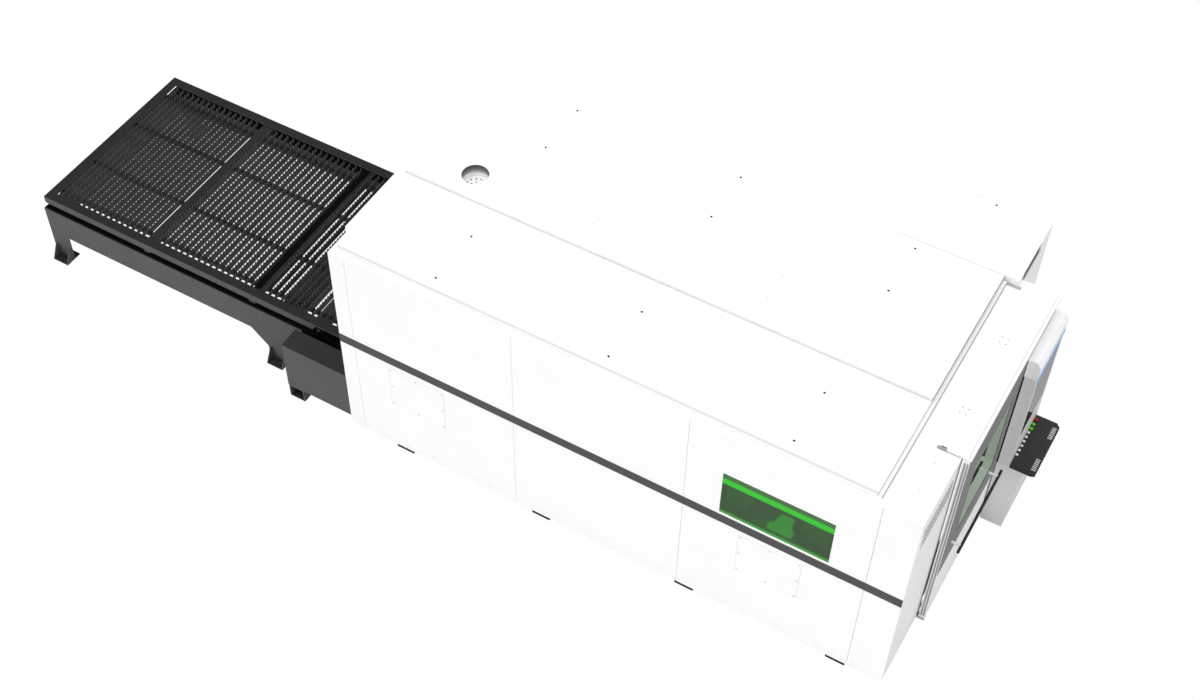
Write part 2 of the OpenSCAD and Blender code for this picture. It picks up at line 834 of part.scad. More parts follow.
// Stem and head of a push-button in its bore of the tray
module push_button(i, head_r, head_h) {
    travel_gap = 6;
    translate([button_x, button_y1 - i * button_pitch, pedestal_h + 14]) {
        cylinder(r = button_r, h = tray_t - 14 + travel_gap);
        translate([0, 0, tray_t - 14 + travel_gap]) cylinder(r = head_r, h = head_h);
    }
}

module estop_button() {
    color("firebrick") push_button(0, 15, 14);
}

module start_button() {
    color("limegreen") push_button(1, 13, 8);
}

module pause_button() {
    color("limegreen") push_button(2, 13, 8);
}

// Row of white pilot lamps along the tray's back edge
module indicator_lamps() {
    color("white")
        for (i = [0 : lamp_count - 1])
            translate([button_x - 5, button_y1 - (3 + i) * button_pitch + 6, tray_top]) cylinder(r = 10, h = 8);
}

// Linear guides on the bed's side walls
module gantry_rails() {
    color(steel_c)
        for (y = [guide_y0, guide_y1])
            block([bed_x0 + 40, y - guide_w / 2, bed_h], [bed_x1 - 40, y + guide_w / 2, bed_h + guide_h]);
}

// Gantry: box beam across the bed on two saddles, with two guides for the carriage
module gantry() {
    saddle_l = 460;
    color([0.8, 0.8, 0.8]) {
        for (y = [guide_y0, guide_y1])
            difference() {
                block([-gantry_x - saddle_l / 2, y - 60, bed_h + run_gap],
                      [-gantry_x + saddle_l / 2, y + 60, beam_z]);
                block([-gantry_x - saddle_l, y - guide_w / 2 - run_gap, bed_h - cut],
                      [-gantry_x + saddle_l, y + guide_w / 2 + run_gap, bed_h + guide_h + run_gap]);
            }
        block([-gantry_x - beam_w / 2, guide_y0 - 60, beam_z],
              [-gantry_x + beam_w / 2, guide_y1 + 60, beam_z + beam_h]);
        for (z = [beam_z + 50, beam_z + beam_h - 80])
            block([-gantry_x - beam_w / 2 - 20, guide_y0 + 60, z],
                  [-gantry_x - beam_w / 2, guide_y1 - 60, z + 30]);
    }
}

// Carriage plate that runs across the gantry on its two guides
module head_carriage() {
    x1 = -gantry_x - beam_w / 2 - run_gap;
    color([0.75, 0.75, 0.78]) difference() {
        block([x1 - carriage_t, mid_y - carriage_w / 2, beam_z - 40],
              [x1, mid_y + carriage_w / 2, beam_z + beam_h]);
        for (z = [beam_z + 50, beam_z + beam_h - 80])
            block([x1 - 20 - run_gap, mid_y - carriage_w, z - run_gap],
                  [x1 + cut, mid_y + carriage_w, z + 30 + run_gap]);
    }
}

// Cutting head: slide plate, round body, tapered nose and nozzle
module cutting_head() {
    plate_t = 30;
    x1 = -gantry_x - beam_w / 2 - carriage_t - 2 * run_gap;
    tip = pallet_z + nozzle_gap;
    nose_h = 90;
    body_h = 320;
    x = x1 - plate_t - head_r + 12;
    color([0.3, 0.3, 0.32]) {
        block([x1 - plate_t, mid_y - 90, tip + nose_h + 60], [x1, mid_y + 90, tip + nose_h + body_h]);
        translate([x, mid_y, tip])
            rotate_extrude()
                polygon([[0, 0], [6, 0], [14, 25], [24, 30], [24, 60], [head_r, nose_h], [head_r, nose_h + body_h],
                         [0, nose_h + body_h]]);
        block([x, mid_y - head_r / 2, tip + nose_h + 80], [x1 - plate_t, mid_y + head_r / 2, tip + nose_h + 260]);
    }
}

// Side plate of the table's base: tall plate with a leg at each end
module base_side() {
    knee_x = leg_x - 159;
    knee_z = side_bottom - 148;
    linear_extrude(side_t)
        polygon([[pallet_x0, side_top], [base_x1, side_top], [base_x1, side_bottom],
                 [leg_x + leg_w, side_bottom], [leg_x + leg_w, foot_t],
                 [leg_x, foot_t], [leg_x, knee_z], [knee_x, side_bottom],
                 [pallet_x0 + leg_w, side_bottom], [pallet_x0 + leg_w, foot_t], [pallet_x0, foot_t]]);
}

// Base frame of the exchange table: two side plates and their cross members
module base_frame() {
    member_w = leg_w / 2;
    member_x = [pallet_x0, leg_x + leg_w / 4, base_x1 - side_t];
    member_l = [side_t, member_w, side_t];
    member_z = [side_top, rail_z - rail_drop, rail_z - rail_drop];
    color(dark_c) {
        for (y = [side_y0, side_y1 - side_t])
            translate([0, y + side_t, 0]) rotate([90, 0, 0]) base_side();
        for (i = [0 : 2])
            block([member_x[i], inner_y0, side_bottom],
                  [member_x[i] + member_l[i], inner_y1, member_z[i]]);
    }
}

// One folded floor bracket of the table, its plate pointing to -Y
module foot_bracket(x) {
    plate_w = 156;
    plate_d = 160;
    ear_h = 125;
    hole_r = 9;
    difference() {
        block([x, -90, 0], [x + plate_w, plate_d - 90, foot_t]);
        for (y = [-68, -26])
            translate([x + plate_w / 2, y, -cut]) cylinder(r = hole_r, h = foot_t + 2 * cut);
    }
    for (ear = [x, x + plate_w - foot_t])
        translate([ear, 0, foot_t]) rotate([90, 0, 90]) linear_extrude(foot_t)
            polygon([[-90, 0], [0, 0], [0, ear_h - foot_t], [-30, ear_h - foot_t]]);
}

// Four floor brackets at the table's legs
module table_feet() {
    foot_x = [pallet_x0 + leg_w - 156, leg_x + leg_w - 156];
    color(dark_c)
        for (x = foot_x) {
            translate([0, side_y0, 0]) foot_bracket(x);
            translate([0, side_y1, 0]) mirror([0, 1, 0]) foot_bracket(x);
        }
}

// Angle rails for the pallet's wheels, from the table through the doorway along the bed
module pallet_rails() {
    reach = 92;
    color(steel_c)
        for (s = [0, 1])
            translate([0, s ? inner_y1 : inner_y0, 0]) mirror([0, s, 0])
                rotate([90, 0, 90])
                    translate([0, 0, pallet_x0 + side_t])
                        linear_extrude(bed_x1 - pallet_x0 - side_t - 30)
                            polygon([[0, rail_z - rail_drop], [rail_t, rail_z - rail_drop], [rail_t, rail_z - rail_t],
                                     [reach, rail_z - rail_t], [reach, rail_z], [0, rail_z]]);
}

// Housing of the pallet's drive beside the rear wall, on a channel foot
module drive_box() {
    foot_w = 145;
    wall = 10;
    color(dark_c) {
        block([drive_x0, 0, drive_z], [rear_x, drive_w, drive_z + drive_h]);
        difference() {
            block([drive_x0 + 4, 0, 0], [drive_x0 + 4 + foot_w, drive_w - wall, drive_z]);
            block([drive_x0 + 4 + wall, -cut, wall], [drive_x0 + 4 + foot_w - wall, side_y0, drive_z - wall]);
        }
    }
}

// Pallet frame: angle rim, lengthwise bars, two cross beams and the stub axles of the wheels
module pallet_frame() {
    rim_z = pallet_z - lip_h;
    bars = [pallet_y0 + rest_in, pallet_y0 + pallet_w / 3, pallet_y0 + 2 * pallet_w / 3 - bar_w,
            pallet_y1 - rest_in - bar_w];
    axle_l = flange_w - pallet_web - 4;
    lip_end = pallet_x1 - 0.145 * pallet_l;
    color(dark_c) {
        difference() {
            block([pallet_x0, pallet_y0, rim_z], [pallet_x1, pallet_y1, pallet_z]);
            block([pallet_x0 + pallet_web, pallet_y0 + pallet_web, rim_z - cut],
                  [pallet_x1 - pallet_web, pallet_y1 - pallet_web, pallet_z - pallet_web]);
            block([pallet_x0 + flange_w, pallet_y0 + flange_w, rim_z],
                  [pallet_x1 - flange_w, pallet_y1 - flange_w, pallet_z + cut]);
            translate([0, pallet_y1 + cut, 0]) rotate([90, 0, 0]) linear_extrude(pallet_w + 2 * cut)
                polygon([[lip_end, rim_z - cut], [lip_end + lip_h / 2, pallet_z - 2 * pallet_web],
                         [pallet_x1 + cut, pallet_z - 2 * pallet_web], [pallet_x1 + cut, rim_z - cut]]);
        }
        for (y = bars)
            block([pallet_x0 + pallet_web, y, slat_z0 - bar_h], [pallet_x1 - pallet_web, y + bar_w, slat_z0]);
        for (x = [pallet_x0 + pallet_web, pallet_x1 - pallet_web - bar_w])
            block([x, bars[0], slat_z0 - bar_h], [x + bar_w, bars[3] + bar_w, pallet_z - pallet_web]);
        for (x = cross_x)
            block([x - cross_w / 2, pallet_y0 + pallet_web, max(slat_z0 - bar_h, rail_z + 4)],
                  [x + cross_w / 2, pallet_y1 - pallet_web, pallet_z - 12]);
        for (x = axle_x) {
            translate([x, pallet_y0 + pallet_web, axle_z]) along_y(axle_r, axle_l);
            translate([x, pallet_y1 - pallet_web - axle_l, axle_z]) along_y(axle_r, axle_l);
        }
    }
}

// Points of a slat's outline: foot cut back at both ends and a saw-tooth top edge
function slat_outline(l) =
    let (n = floor(l / tooth_pitch), p = l / n, h = slat_h - tooth_d - 10, e = rest_in - flange_w - 10)
    concat([[l, h], [l - e, h], [l - e, 0], [e, 0], [e, h], [0, h]],
           [for (i = [0 : n - 1]) each [[i * p, slat_h - tooth_d], [(i + 0.5) * p, slat_h]]],
           [[l, slat_h - tooth_d]]);

// Slats of one third of the pallet, spread evenly between two beams
module slat_field(x0, x1) {
    n = floor((x1 - x0) / slat_pitch);
    p = (x1 - x0) / n;
    y0 = pallet_y0 + flange_w + run_gap;
    for (i = [0 : n - 1])
        translate([x0 + (i + 0.5) * p - slat_t / 2, y0, slat_z0])
            rotate([90, 0, 90]) linear_extrude(slat_t)
                polygon(slat_outline(pallet_w - 2 * (flange_w + run_gap)));
}

// Saw-tooth slats that carry the sheet, in three fields
module pallet_slats() {
    color([0.27, 0.27, 0.27]) {
        slat_field(pallet_x0 + flange_w, cross_x[0] - cross_w / 2 - 0.6 * slat_pitch);
        slat_field(cross_x[0] + cross_w / 2, cross_x[1] - cross_w / 2);
        slat_field(cross_x[1] + cross_w / 2, pallet_x1 - flange_w);
    }
}

// Pallet wheel on its stub axle: flat tread with a raised hub
module pallet_wheel(x, y) {
    color(steel_c)
        translate([x, y, axle_z]) rotate([-90, 0, 0])
            rotate_extrude()
                polygon([[axle_r + pin_play, 0], [24, 0], [24, 4], [wheel_r - 3, 4], [wheel_r, 7],
                         [wheel_r, wheel_w - 7], [wheel_r - 3, wheel_w - 4], [24, wheel_w - 4], [24, wheel_w],
                         [axle_r + pin_play, wheel_w]]);
}

// Distance of a wheel from the pallet's outer face
wheel_in = pallet_web + 12;

module wheel_front_left() {
    pallet_wheel(axle_x[1], pallet_y0 + wheel_in);
}

module wheel_front_right() {
    pallet_wheel(axle_x[1], pallet_y1 - wheel_in - wheel_w);
}

module wheel_rear_left() {
    pallet_wheel(axle_x[0], pallet_y0 + wheel_in);
}

module wheel_rear_right() {
    pallet_wheel(axle_x[0], pallet_y1 - wheel_in - wheel_w);
}

// Puts the machine's middle over the origin
module machine() {
    translate([place_x, place_y, 0]) children();
}

machine() machine_bed();
machine() levelling_feet();
machine() enclosure_frame();
machine() left_panel_rear();
machine() left_panel_middle();
machine() left_panel_front();
machine() left_stripe();
machine() left_window();
machine() window_frame();
machine() access_cover_rear();
machine() access_cover_front();
machine() cover_screws();
machine() right_panel_rear();
machine() right_panel_front();
machine() rear_wall();
machine() rear_hood();
machine() front_wall();
machine() front_fixed_panel();
machine() roof_cap();
machine() roof_left();
machine() roof_right_rear();
machine() roof_right_middle();
machine() roof_right_front();
machine() roof_plugs();
machine() fume_port();
machine() wing_cabinet();
machine() wing_door();
machine() control_plate();
machine() door_header();
machine() header_bolts();
machine() door_pivots();
machine() front_door();
machine() door_window_frame();
machine() door_glass();
machine() handle_posts();
machine() handle_bar();
machine() console_pedestal();
machine() console_cabinet();
machine() console_cap();
machine() console_screen();
machine() console_light();
machine() keyboard_tray();
machine() estop_button();
machine() start_button();
machine() pause_button();
machine() indicator_lamps();
machine() gantry_rails();
machine() gantry();
machine() head_carriage();
machine() cutting_head();
machine() base_frame();
machine() table_feet();
machine() pallet_rails();
machine() drive_box();
machine() pallet_frame();
machine() pallet_slats();
machine() wheel_front_left();
machine() wheel_front_right();
machine() wheel_rear_left();
machine() wheel_rear_right();
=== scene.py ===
"""Studio picture of an enclosed laser cutting machine with its exchange table.

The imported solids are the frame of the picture. This script dresses every solid in a procedural
finish, adds the small pieces that only show, and sets the floor, the lights and the camera.
All sizes are metres in the row frame: +X to the operator, +Y to the electrical cabinet, +Z up.
"""

import logging
import math
from dataclasses import dataclass, field
from enum import Enum
from typing import Callable, Iterable, Sequence

import bpy
import numpy as np
from mathutils import Matrix, Vector


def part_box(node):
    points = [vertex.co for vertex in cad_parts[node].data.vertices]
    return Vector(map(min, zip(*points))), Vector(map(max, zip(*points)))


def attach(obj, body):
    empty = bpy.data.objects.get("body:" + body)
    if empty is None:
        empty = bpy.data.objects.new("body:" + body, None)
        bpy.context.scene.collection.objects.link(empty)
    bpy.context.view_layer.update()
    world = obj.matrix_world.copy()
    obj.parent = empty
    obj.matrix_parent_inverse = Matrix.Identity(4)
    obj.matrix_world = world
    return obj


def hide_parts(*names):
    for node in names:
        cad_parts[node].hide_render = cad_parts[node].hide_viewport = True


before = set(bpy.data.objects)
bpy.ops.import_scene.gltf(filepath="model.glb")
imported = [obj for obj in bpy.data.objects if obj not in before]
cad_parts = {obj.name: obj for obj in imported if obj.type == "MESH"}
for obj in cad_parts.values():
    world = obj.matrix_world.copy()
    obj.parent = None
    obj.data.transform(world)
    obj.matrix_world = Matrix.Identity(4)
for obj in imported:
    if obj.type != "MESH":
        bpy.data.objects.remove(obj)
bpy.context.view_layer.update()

LOG = logging.getLogger("laser_cutter")

Colour = tuple[float, float, float]
Point = tuple[float, float, float]
Tree = bpy.types.NodeTree
Node = bpy.types.Node
Socket = bpy.types.NodeSocket
Material = bpy.types.Material
Piece = bpy.types.Object


class Grain(Enum):
    """Kinds of surface grain a finish can carry."""

    POWDER = "powder"
    BRUSHED = "brushed"
    MOULDED = "moulded"


class Blend(Enum):
    """Ways in which a colour ramp runs between its stops."""

    EVEN = "LINEAR"
    STEPPED = "CONSTANT"


class Body(Enum):
    """Names of the bodies that added pieces ride on."""

    MACHINE = "machine"
    PALLET = "pallet"
    DOOR = "front_door"
    GANTRY = "gantry"


@dataclass(frozen=True)
class Finish:
    """One opaque finish, in linear colour.

    Attributes:
        name: Name of the material.
        colour: Base colour, linear.
        roughness: Mean roughness.
        metallic: Share of metal, 0 or 1.
        grain: Kind of grain.
        scale: Grain frequency per metre.
        spread: Share by which the colour varies about its mean.
        relief: Strength of the bump, 0 to 1.
        specular: Specular level of the clear surface.
        level: Factor on the colour of surfaces that face straight up: painted shade where below 1, painted
            light where above 1.
        fade: Stops (height in metres, factor on the colour there), lowest first; painted shade over the
            height.
    """

    name: str
    colour: Colour
    roughness: float = 0.45
    metallic: float = 0.0
    grain: Grain = Grain.POWDER
    scale: float = 260.0
    spread: float = 0.03
    relief: float = 0.02
    specular: float = 0.3
    level: float = 1.0
    fade: tuple[tuple[float, float], ...] = ()


@dataclass(frozen=True)
class Glazing:
    """A tinted sheet of laser glass.

    Attributes:
        name: Name of the material.
        tint: Colour that passes through, linear.
        mirror: Colour that is reflected, linear.
        share: Share of the surface that reflects, 0 to 1.
        glow: Steps (height in metres, light that comes through from above it), lowest first; painted light,
            an emission that stands for the lit inside seen through the glass.
        scale: Frequency of the faint clouding per metre.
    """

    name: str
    tint: Colour
    mirror: Colour
    share: float
    glow: tuple[tuple[float, Colour], ...] = ()
    scale: float = 6.0


@dataclass(frozen=True)
class Lamp:
    """An emitting finish, for a lit diffuser and for painted light on a part that is no lamp.

    Attributes:
        name: Name of the material.
        colour: Colour of the light, linear.
        strength: Emission strength.
        scale: Frequency of the diffuser's mottling per metre.
    """

    name: str
    colour: Colour
    strength: float
    scale: float = 40.0


WHITE = Finish("white_powder_coat", (0.86, 0.86, 0.86), 0.5, spread=0.012)
GREY = Finish("grey_paint", (0.30, 0.30, 0.31), 0.55)
# Painted shade: the dark coat and the pallet coat are darker on their tops than on their sides, through the
# level factor.
DARK = Finish("dark_powder_coat", (0.094, 0.094, 0.095), 0.5, spread=0.06, relief=0.04,
              specular=0.05, level=0.26)
PALLET = Finish("pallet_coat", (0.094, 0.094, 0.095), 0.5, spread=0.08, relief=0.05,
                specular=0.05, level=0.2)
# Painted shade: the grey line round the access covers stands for the shade in their gap.
LINE = Finish("cover_gap_painted_shade", (0.66, 0.66, 0.66), 0.6, spread=0.02)
# Painted shade: grey strips along the roof and wing edges, in the header's groove and in the gap behind the
# console's cap.
SEAM_SHADE = Finish("seam_painted_shade", (0.62, 0.62, 0.62), 0.6, spread=0.02)
# Painted shade: the upright step in the roof is a little darker than the lit side faces.
STEP_SHADE = Finish("step_painted_shade", (0.80, 0.80, 0.80), 0.6, spread=0.02)
# Painted shade: thin grey plates on the roof's front hem and ledge edge, at the header's foot and end, and on
# the cap by the header's far end.
SHADE = Finish("hem_painted_shade", (0.36, 0.36, 0.36), 0.6, spread=0.04)
SCREW = Finish("painted_screw", (0.40, 0.40, 0.40), 0.5, spread=0.05)
BEAM = Finish("beam_coat", (0.003, 0.003, 0.003), 0.7, spread=0.2, relief=0.05, specular=0.01)
SEAL = Finish("door_seal", (0.33, 0.33, 0.33), 0.6, grain=Grain.MOULDED, spread=0.06)
STRIPE = Finish("stripe_paint", (0.066, 0.066, 0.068), 0.5, spread=0.05)
MID = Finish("door_frame_paint", (0.165, 0.165, 0.165), 0.45, spread=0.04)
# Painted light: the console paint is lighter on its tops than on its sides, through the level factor.
PALE = Finish("console_paint", (0.66, 0.66, 0.66), 0.45, spread=0.02, level=1.28)
STONE = Finish("pedestal_paint", (0.70, 0.70, 0.70), 0.5, spread=0.02)
# Painted shade: the fume port's paint darkens towards the rim of its dish, for the shade inside the recess;
# the rim's top stays white.
PORT_SHADE = Finish("port_painted_shade", (0.86, 0.86, 0.86), 0.6, spread=0.02,
              fade=((2.02, 1.0), (2.04, 0.5), (2.062, 0.2), (2.085, 0.09), (2.1095, 0.05), (2.1098, 1.0)))
RUBBER = Finish("black_rubber", (0.008, 0.008, 0.008), 0.8, grain=Grain.MOULDED, spread=0.2)
PLASTIC = Finish("black_plastic", (0.022, 0.022, 0.023), 0.6, grain=Grain.MOULDED, spread=0.12)
STEEL = Finish("ground_steel", (0.55, 0.56, 0.58), 0.35, metallic=1.0, grain=Grain.BRUSHED,
               scale=90.0, spread=0.12, relief=0.05)
SLAT = Finish("slat_steel", (0.062, 0.062, 0.062), 0.55, grain=Grain.BRUSHED,
              scale=60.0, spread=0.25, relief=0.08)
SCREEN = Finish("screen_gloss", (0.012, 0.012, 0.015), 0.12, grain=Grain.MOULDED, spread=0.1)
RED = Finish("red_plastic", (0.30, 0.008, 0.008), 0.35, grain=Grain.MOULDED, spread=0.08)
GREEN = Finish("green_plastic", (0.10, 0.58, 0.002), 0.35, grain=Grain.MOULDED, spread=0.08)
IVORY = Finish("white_plastic", (0.82, 0.82, 0.82), 0.35, grain=Grain.MOULDED, spread=0.03)
# Painted light: the laser glass glows in steps over the height, for the lit inside and its bright band seen
# through the window.
LASER_GLASS = Glazing(
    "green_laser_glass", tint=(0.01, 0.16, 0.01), mirror=(0.86, 0.86, 0.82), share=0.11,
    glow=((1.18, (0.02, 0.26, 0.02)), (1.207, (0.012, 0.050, 0.009)), (1.522, (0.015, 0.50, 0.01)),
          (1.578, (0.035, 0.125, 0.030)), (1.622, (0.0, 0.03, 0.0))))
DOOR_GLASS = Glazing("door_glass", tint=(0.34, 0.43, 0.34), mirror=(0.64, 0.77, 0.63), share=0.92)
BLUE_LAMP = Lamp("blue_light", (0.23, 0.48, 0.84), strength=1.0)
# Painted light: the gantry's end plate glows, standing in for the cabin light that falls on it; it is no
# lamp.
GANTRY_PAINTED_LIGHT = Lamp("gantry_painted_light", (1.0, 1.0, 1.0), strength=8.5)

NODE_FINISH: dict[str, Finish | Glazing | Lamp] = {
    "machine_bed": GREY, "enclosure_frame": GREY, "control_plate": GREY,
    "levelling_feet": RUBBER, "fume_port": PORT_SHADE,
    "left_stripe": STRIPE, "left_window": LASER_GLASS, "door_glass": DOOR_GLASS,
    "cover_screws": SCREW, "header_bolts": STEEL, "door_pivots": STEEL, "gantry_rails": STEEL,
    "pallet_rails": BEAM, "head_carriage": STEEL, "cutting_head": PLASTIC,
    "door_window_frame": MID, "handle_bar": PLASTIC, "keyboard_tray": PLASTIC,
    "console_pedestal": STONE, "console_cabinet": PALE, "console_screen": SCREEN,
    "console_light": BLUE_LAMP, "estop_button": RED, "start_button": GREEN,
    "pause_button": GREEN, "indicator_lamps": IVORY, "base_frame": DARK, "table_feet": DARK,
    "drive_box": DARK, "pallet_frame": PALLET, "pallet_slats": SLAT,
    "wheel_front_left": RUBBER, "wheel_front_right": RUBBER,
    "wheel_rear_left": RUBBER, "wheel_rear_right": RUBBER,
}

RIGHT_ROOF: tuple[str, ...] = ("roof_right_rear", "roof_right_middle", "roof_right_front")
FRONT_ROOF: tuple[str, ...] = ("roof_left", "roof_right_front")


class MaterialShop:
    """Makes one node material per finish and hands it out again on request.

    The values in capitals are shared by all finishes: the stretch of even and of brushed grain, the
    ends of a noise ramp, the detail of coarse and fine noise, the scale of clouds, the swing and the
    least of roughness, the depth of a bump, the range of n_z over which the painted top shading sets
    in, the height up to which the painted glow steps of glass are laid out, and the darkest share in
    clouded glass and lamps.
    """

    EVEN: Point = (1.0, 1.0, 1.0)
    BRUSH: Point = (0.06, 1.0, 1.0)
    RAMP_ENDS: tuple[float, float] = (0.3, 0.7)
    COARSE_DETAIL: float = 4.0
    FINE_DETAIL: float = 2.0
    POWDER_CLOUD: float = 3.0
    CLOUD_DIVISOR: float = 6.0
    ROUGH_SWING: float = 0.06
    ROUGH_LEAST: float = 0.03
    BUMP_DEPTH: float = 0.001
    TOP_SHADING_RANGE: tuple[float, float] = (0.6, 0.8)
    STEP_HEIGHT: float = 2.5
    TINT_CLOUD: float = 0.96
    MIRROR_CLOUD: float = 0.97
    MIRROR_ROUGH: float = 0.03
    LAMP_MOTTLE: float = 0.94

    def __init__(self) -> None:
        """Starts with no material made."""
        self._made: dict[str, Material] = {}

    def get(self, finish: Finish | Glazing | Lamp) -> Material:
        """Returns the material of a finish, made on first use.

        Args:
            finish: The finish, glazing or lamp to make.

        Returns:
            The node material.
        """
        if finish.name not in self._made:
            material = bpy.data.materials.new(finish.name)
            material.use_nodes = True
            material.node_tree.nodes.clear()
            if isinstance(finish, Finish):
                self._paint(material.node_tree, finish)
            elif isinstance(finish, Glazing):
                self._glaze(material.node_tree, finish)
            else:
                self._light(material.node_tree, finish)
            self._made[finish.name] = material
        return self._made[finish.name]

    @staticmethod
    def _noise(tree: Tree, scale: float, stretch: Point, detail: float) -> Node:
        """Adds object-space noise whose frequency is scale times stretch along each axis.

        Args:
            tree: Node tree of the material.
            scale: Frequency per metre.
            stretch: Factor on the frequency along X, Y and Z.
            detail: Number of finer layers.

        Returns:
            The noise node.
        """
        coords = tree.nodes.new("ShaderNodeTexCoord")
        mapping = tree.nodes.new("ShaderNodeMapping")
        noise = tree.nodes.new("ShaderNodeTexNoise")
        mapping.inputs["Scale"].default_value = stretch
        noise.inputs["Scale"].default_value = scale
        noise.inputs["Detail"].default_value = detail
        tree.links.new(coords.outputs["Object"], mapping.inputs["Vector"])
        tree.links.new(mapping.outputs["Vector"], noise.inputs["Vector"])
        return noise

    def _ramp(self, tree: Tree, source: Node, low: Colour, high: Colour) -> Node:
        """Adds a colour ramp from low to high over the noise's middle range.

        Args:
            tree: Node tree of the material.
            source: The noise node.
            low: Colour at the ramp's lower end.
            high: Colour at the ramp's upper end.

        Returns:
            The ramp node.
        """
        ramp = tree.nodes.new("ShaderNodeValToRGB")
        for element, position, tone in zip(ramp.color_ramp.elements, self.RAMP_ENDS, (low, high)):
            element.position = position
            element.color = (*tone, 1.0)
        tree.links.new(source.outputs["Fac"], ramp.inputs["Fac"])
        return ramp

    def _paint(self, tree: Tree, finish: Finish) -> None:
        """Opaque finish: colour c (1 +- spread), roughness r +- swing and a fine bump, all from noise;
        painted light and shade on tops and over the height where the finish has them.

        Args:
            tree: Node tree of the material.
            finish: The finish to make.
        """
        shader = tree.nodes.new("ShaderNodeBsdfPrincipled")
        output = tree.nodes.new("ShaderNodeOutputMaterial")
        stretch = self.BRUSH if finish.grain is Grain.BRUSHED else self.EVEN
        powder = finish.grain is Grain.POWDER
        cloud_scale = self.POWDER_CLOUD if powder else finish.scale / self.CLOUD_DIVISOR
        cloud = self._noise(tree, cloud_scale, stretch, self.COARSE_DETAIL)
        fine = self._noise(tree, finish.scale, stretch, self.FINE_DETAIL)
        low = tuple(c * (1 - finish.spread) for c in finish.colour)
        high = tuple(min(1.0, c * (1 + finish.spread)) for c in finish.colour)
        colour = self._ramp(tree, cloud, low, high).outputs["Color"]
        # Painted light and shade: faces that point up get the level factor on their colour.
        if finish.level != 1.0:
            colour = self._paint_top_shading(tree, colour, finish.level)
        # Painted shade: the colour is scaled over the height by the fade stops.
        if finish.fade:
            colour = self._paint_height_shade(tree, colour, finish.fade)
        rough = tree.nodes.new("ShaderNodeMapRange")
        rough.inputs["To Min"].default_value = max(self.ROUGH_LEAST, finish.roughness - self.ROUGH_SWING)
        rough.inputs["To Max"].default_value = min(1.0, finish.roughness + self.ROUGH_SWING)
        bump = tree.nodes.new("ShaderNodeBump")
        bump.inputs["Strength"].default_value = finish.relief
        bump.inputs["Distance"].default_value = self.BUMP_DEPTH
        shader.inputs["Metallic"].default_value = finish.metallic
        shader.inputs["Specular IOR Level"].default_value = finish.specular
        tree.links.new(fine.outputs["Fac"], rough.inputs["Value"])
        tree.links.new(fine.outputs["Fac"], bump.inputs["Height"])
        tree.links.new(colour, shader.inputs["Base Color"])
        tree.links.new(rough.outputs["Result"], shader.inputs["Roughness"])
        tree.links.new(bump.outputs["Normal"], shader.inputs["Normal"])
        tree.links.new(shader.outputs["BSDF"], output.inputs["Surface"])

    def _paint_top_shading(self, tree: Tree, colour: Socket, factor: float) -> Socket:
        """Painted light and shade: scales a colour by a factor that runs from 1 to its full value as n_z
        crosses its range.

        Args:
            tree: Node tree of the material.
            colour: The colour to scale.
            factor: Factor on faces that point straight up.

        Returns:
            The socket of the scaled colour.
        """
        normal = tree.nodes.new("ShaderNodeNewGeometry")
        split = tree.nodes.new("ShaderNodeSeparateXYZ")
        share = tree.nodes.new("ShaderNodeMapRange")
        share.inputs["From Min"].default_value = self.TOP_SHADING_RANGE[0]
        share.inputs["From Max"].default_value = self.TOP_SHADING_RANGE[1]
        share.inputs["To Min"].default_value = 1.0
        share.inputs["To Max"].default_value = factor
        scaled = tree.nodes.new("ShaderNodeVectorMath")
        scaled.operation = "SCALE"
        tree.links.new(normal.outputs["True Normal"], split.inputs["Vector"])
        tree.links.new(split.outputs["Z"], share.inputs["Value"])
        tree.links.new(colour, scaled.inputs["Vector"])
        tree.links.new(share.outputs["Result"], scaled.inputs["Scale"])
        return scaled.outputs["Vector"]

    @staticmethod
    def _height_ramp(tree: Tree, ends: tuple[float, float], stops: Sequence[tuple[float, Colour]],
                     blend: Blend) -> Socket:
        """Adds a colour over the height z, from a ramp that is read at (z - low) / (high - low).

        Args:
            tree: Node tree of the material.
            ends: Heights low and high at the two ends of the ramp.
            stops: Height and colour of every stop, lowest first.
            blend: How the ramp runs between its stops.

        Returns:
            The colour's socket.
        """
        low, high = ends
        coords = tree.nodes.new("ShaderNodeTexCoord")
        split = tree.nodes.new("ShaderNodeSeparateXYZ")
        height = tree.nodes.new("ShaderNodeMapRange")
        height.inputs["From Min"].default_value = low
        height.inputs["From Max"].default_value = high
        ramp = tree.nodes.new("ShaderNodeValToRGB")
        ramp.color_ramp.interpolation = blend.value
        elements = ramp.color_ramp.elements
        while len(elements) < len(stops):
            elements.new(1.0)
        for element, (z, tone) in zip(elements, stops):
            element.position = (z - low) / (high - low)
            element.color = (*tone, 1.0)
        tree.links.new(coords.outputs["Object"], split.inputs["Vector"])
        tree.links.new(split.outputs["Z"], height.inputs["Value"])
        tree.links.new(height.outputs["Result"], ramp.inputs["Fac"])
        return ramp.outputs["Color"]

    def _paint_height_shade(self, tree: Tree, colour: Socket, stops: Sequence[tuple[float, float]]) -> Socket:
        """Painted shade: scales a colour by a factor that runs evenly between its stops over the height z.

        Args:
            tree: Node tree of the material.
            colour: The colour to scale.
            stops: Height and factor of every stop, lowest first.

        Returns:
            The socket of the scaled colour.
        """
        tones = [(z, (factor, factor, factor)) for z, factor in stops]
        factors = self._height_ramp(tree, (stops[0][0], stops[-1][0]), tones, Blend.EVEN)
        scaled = tree.nodes.new("ShaderNodeVectorMath")
        scaled.operation = "MULTIPLY"
        tree.links.new(colour, scaled.inputs[0])
        tree.links.new(factors, scaled.inputs[1])
        return scaled.outputs["Vector"]

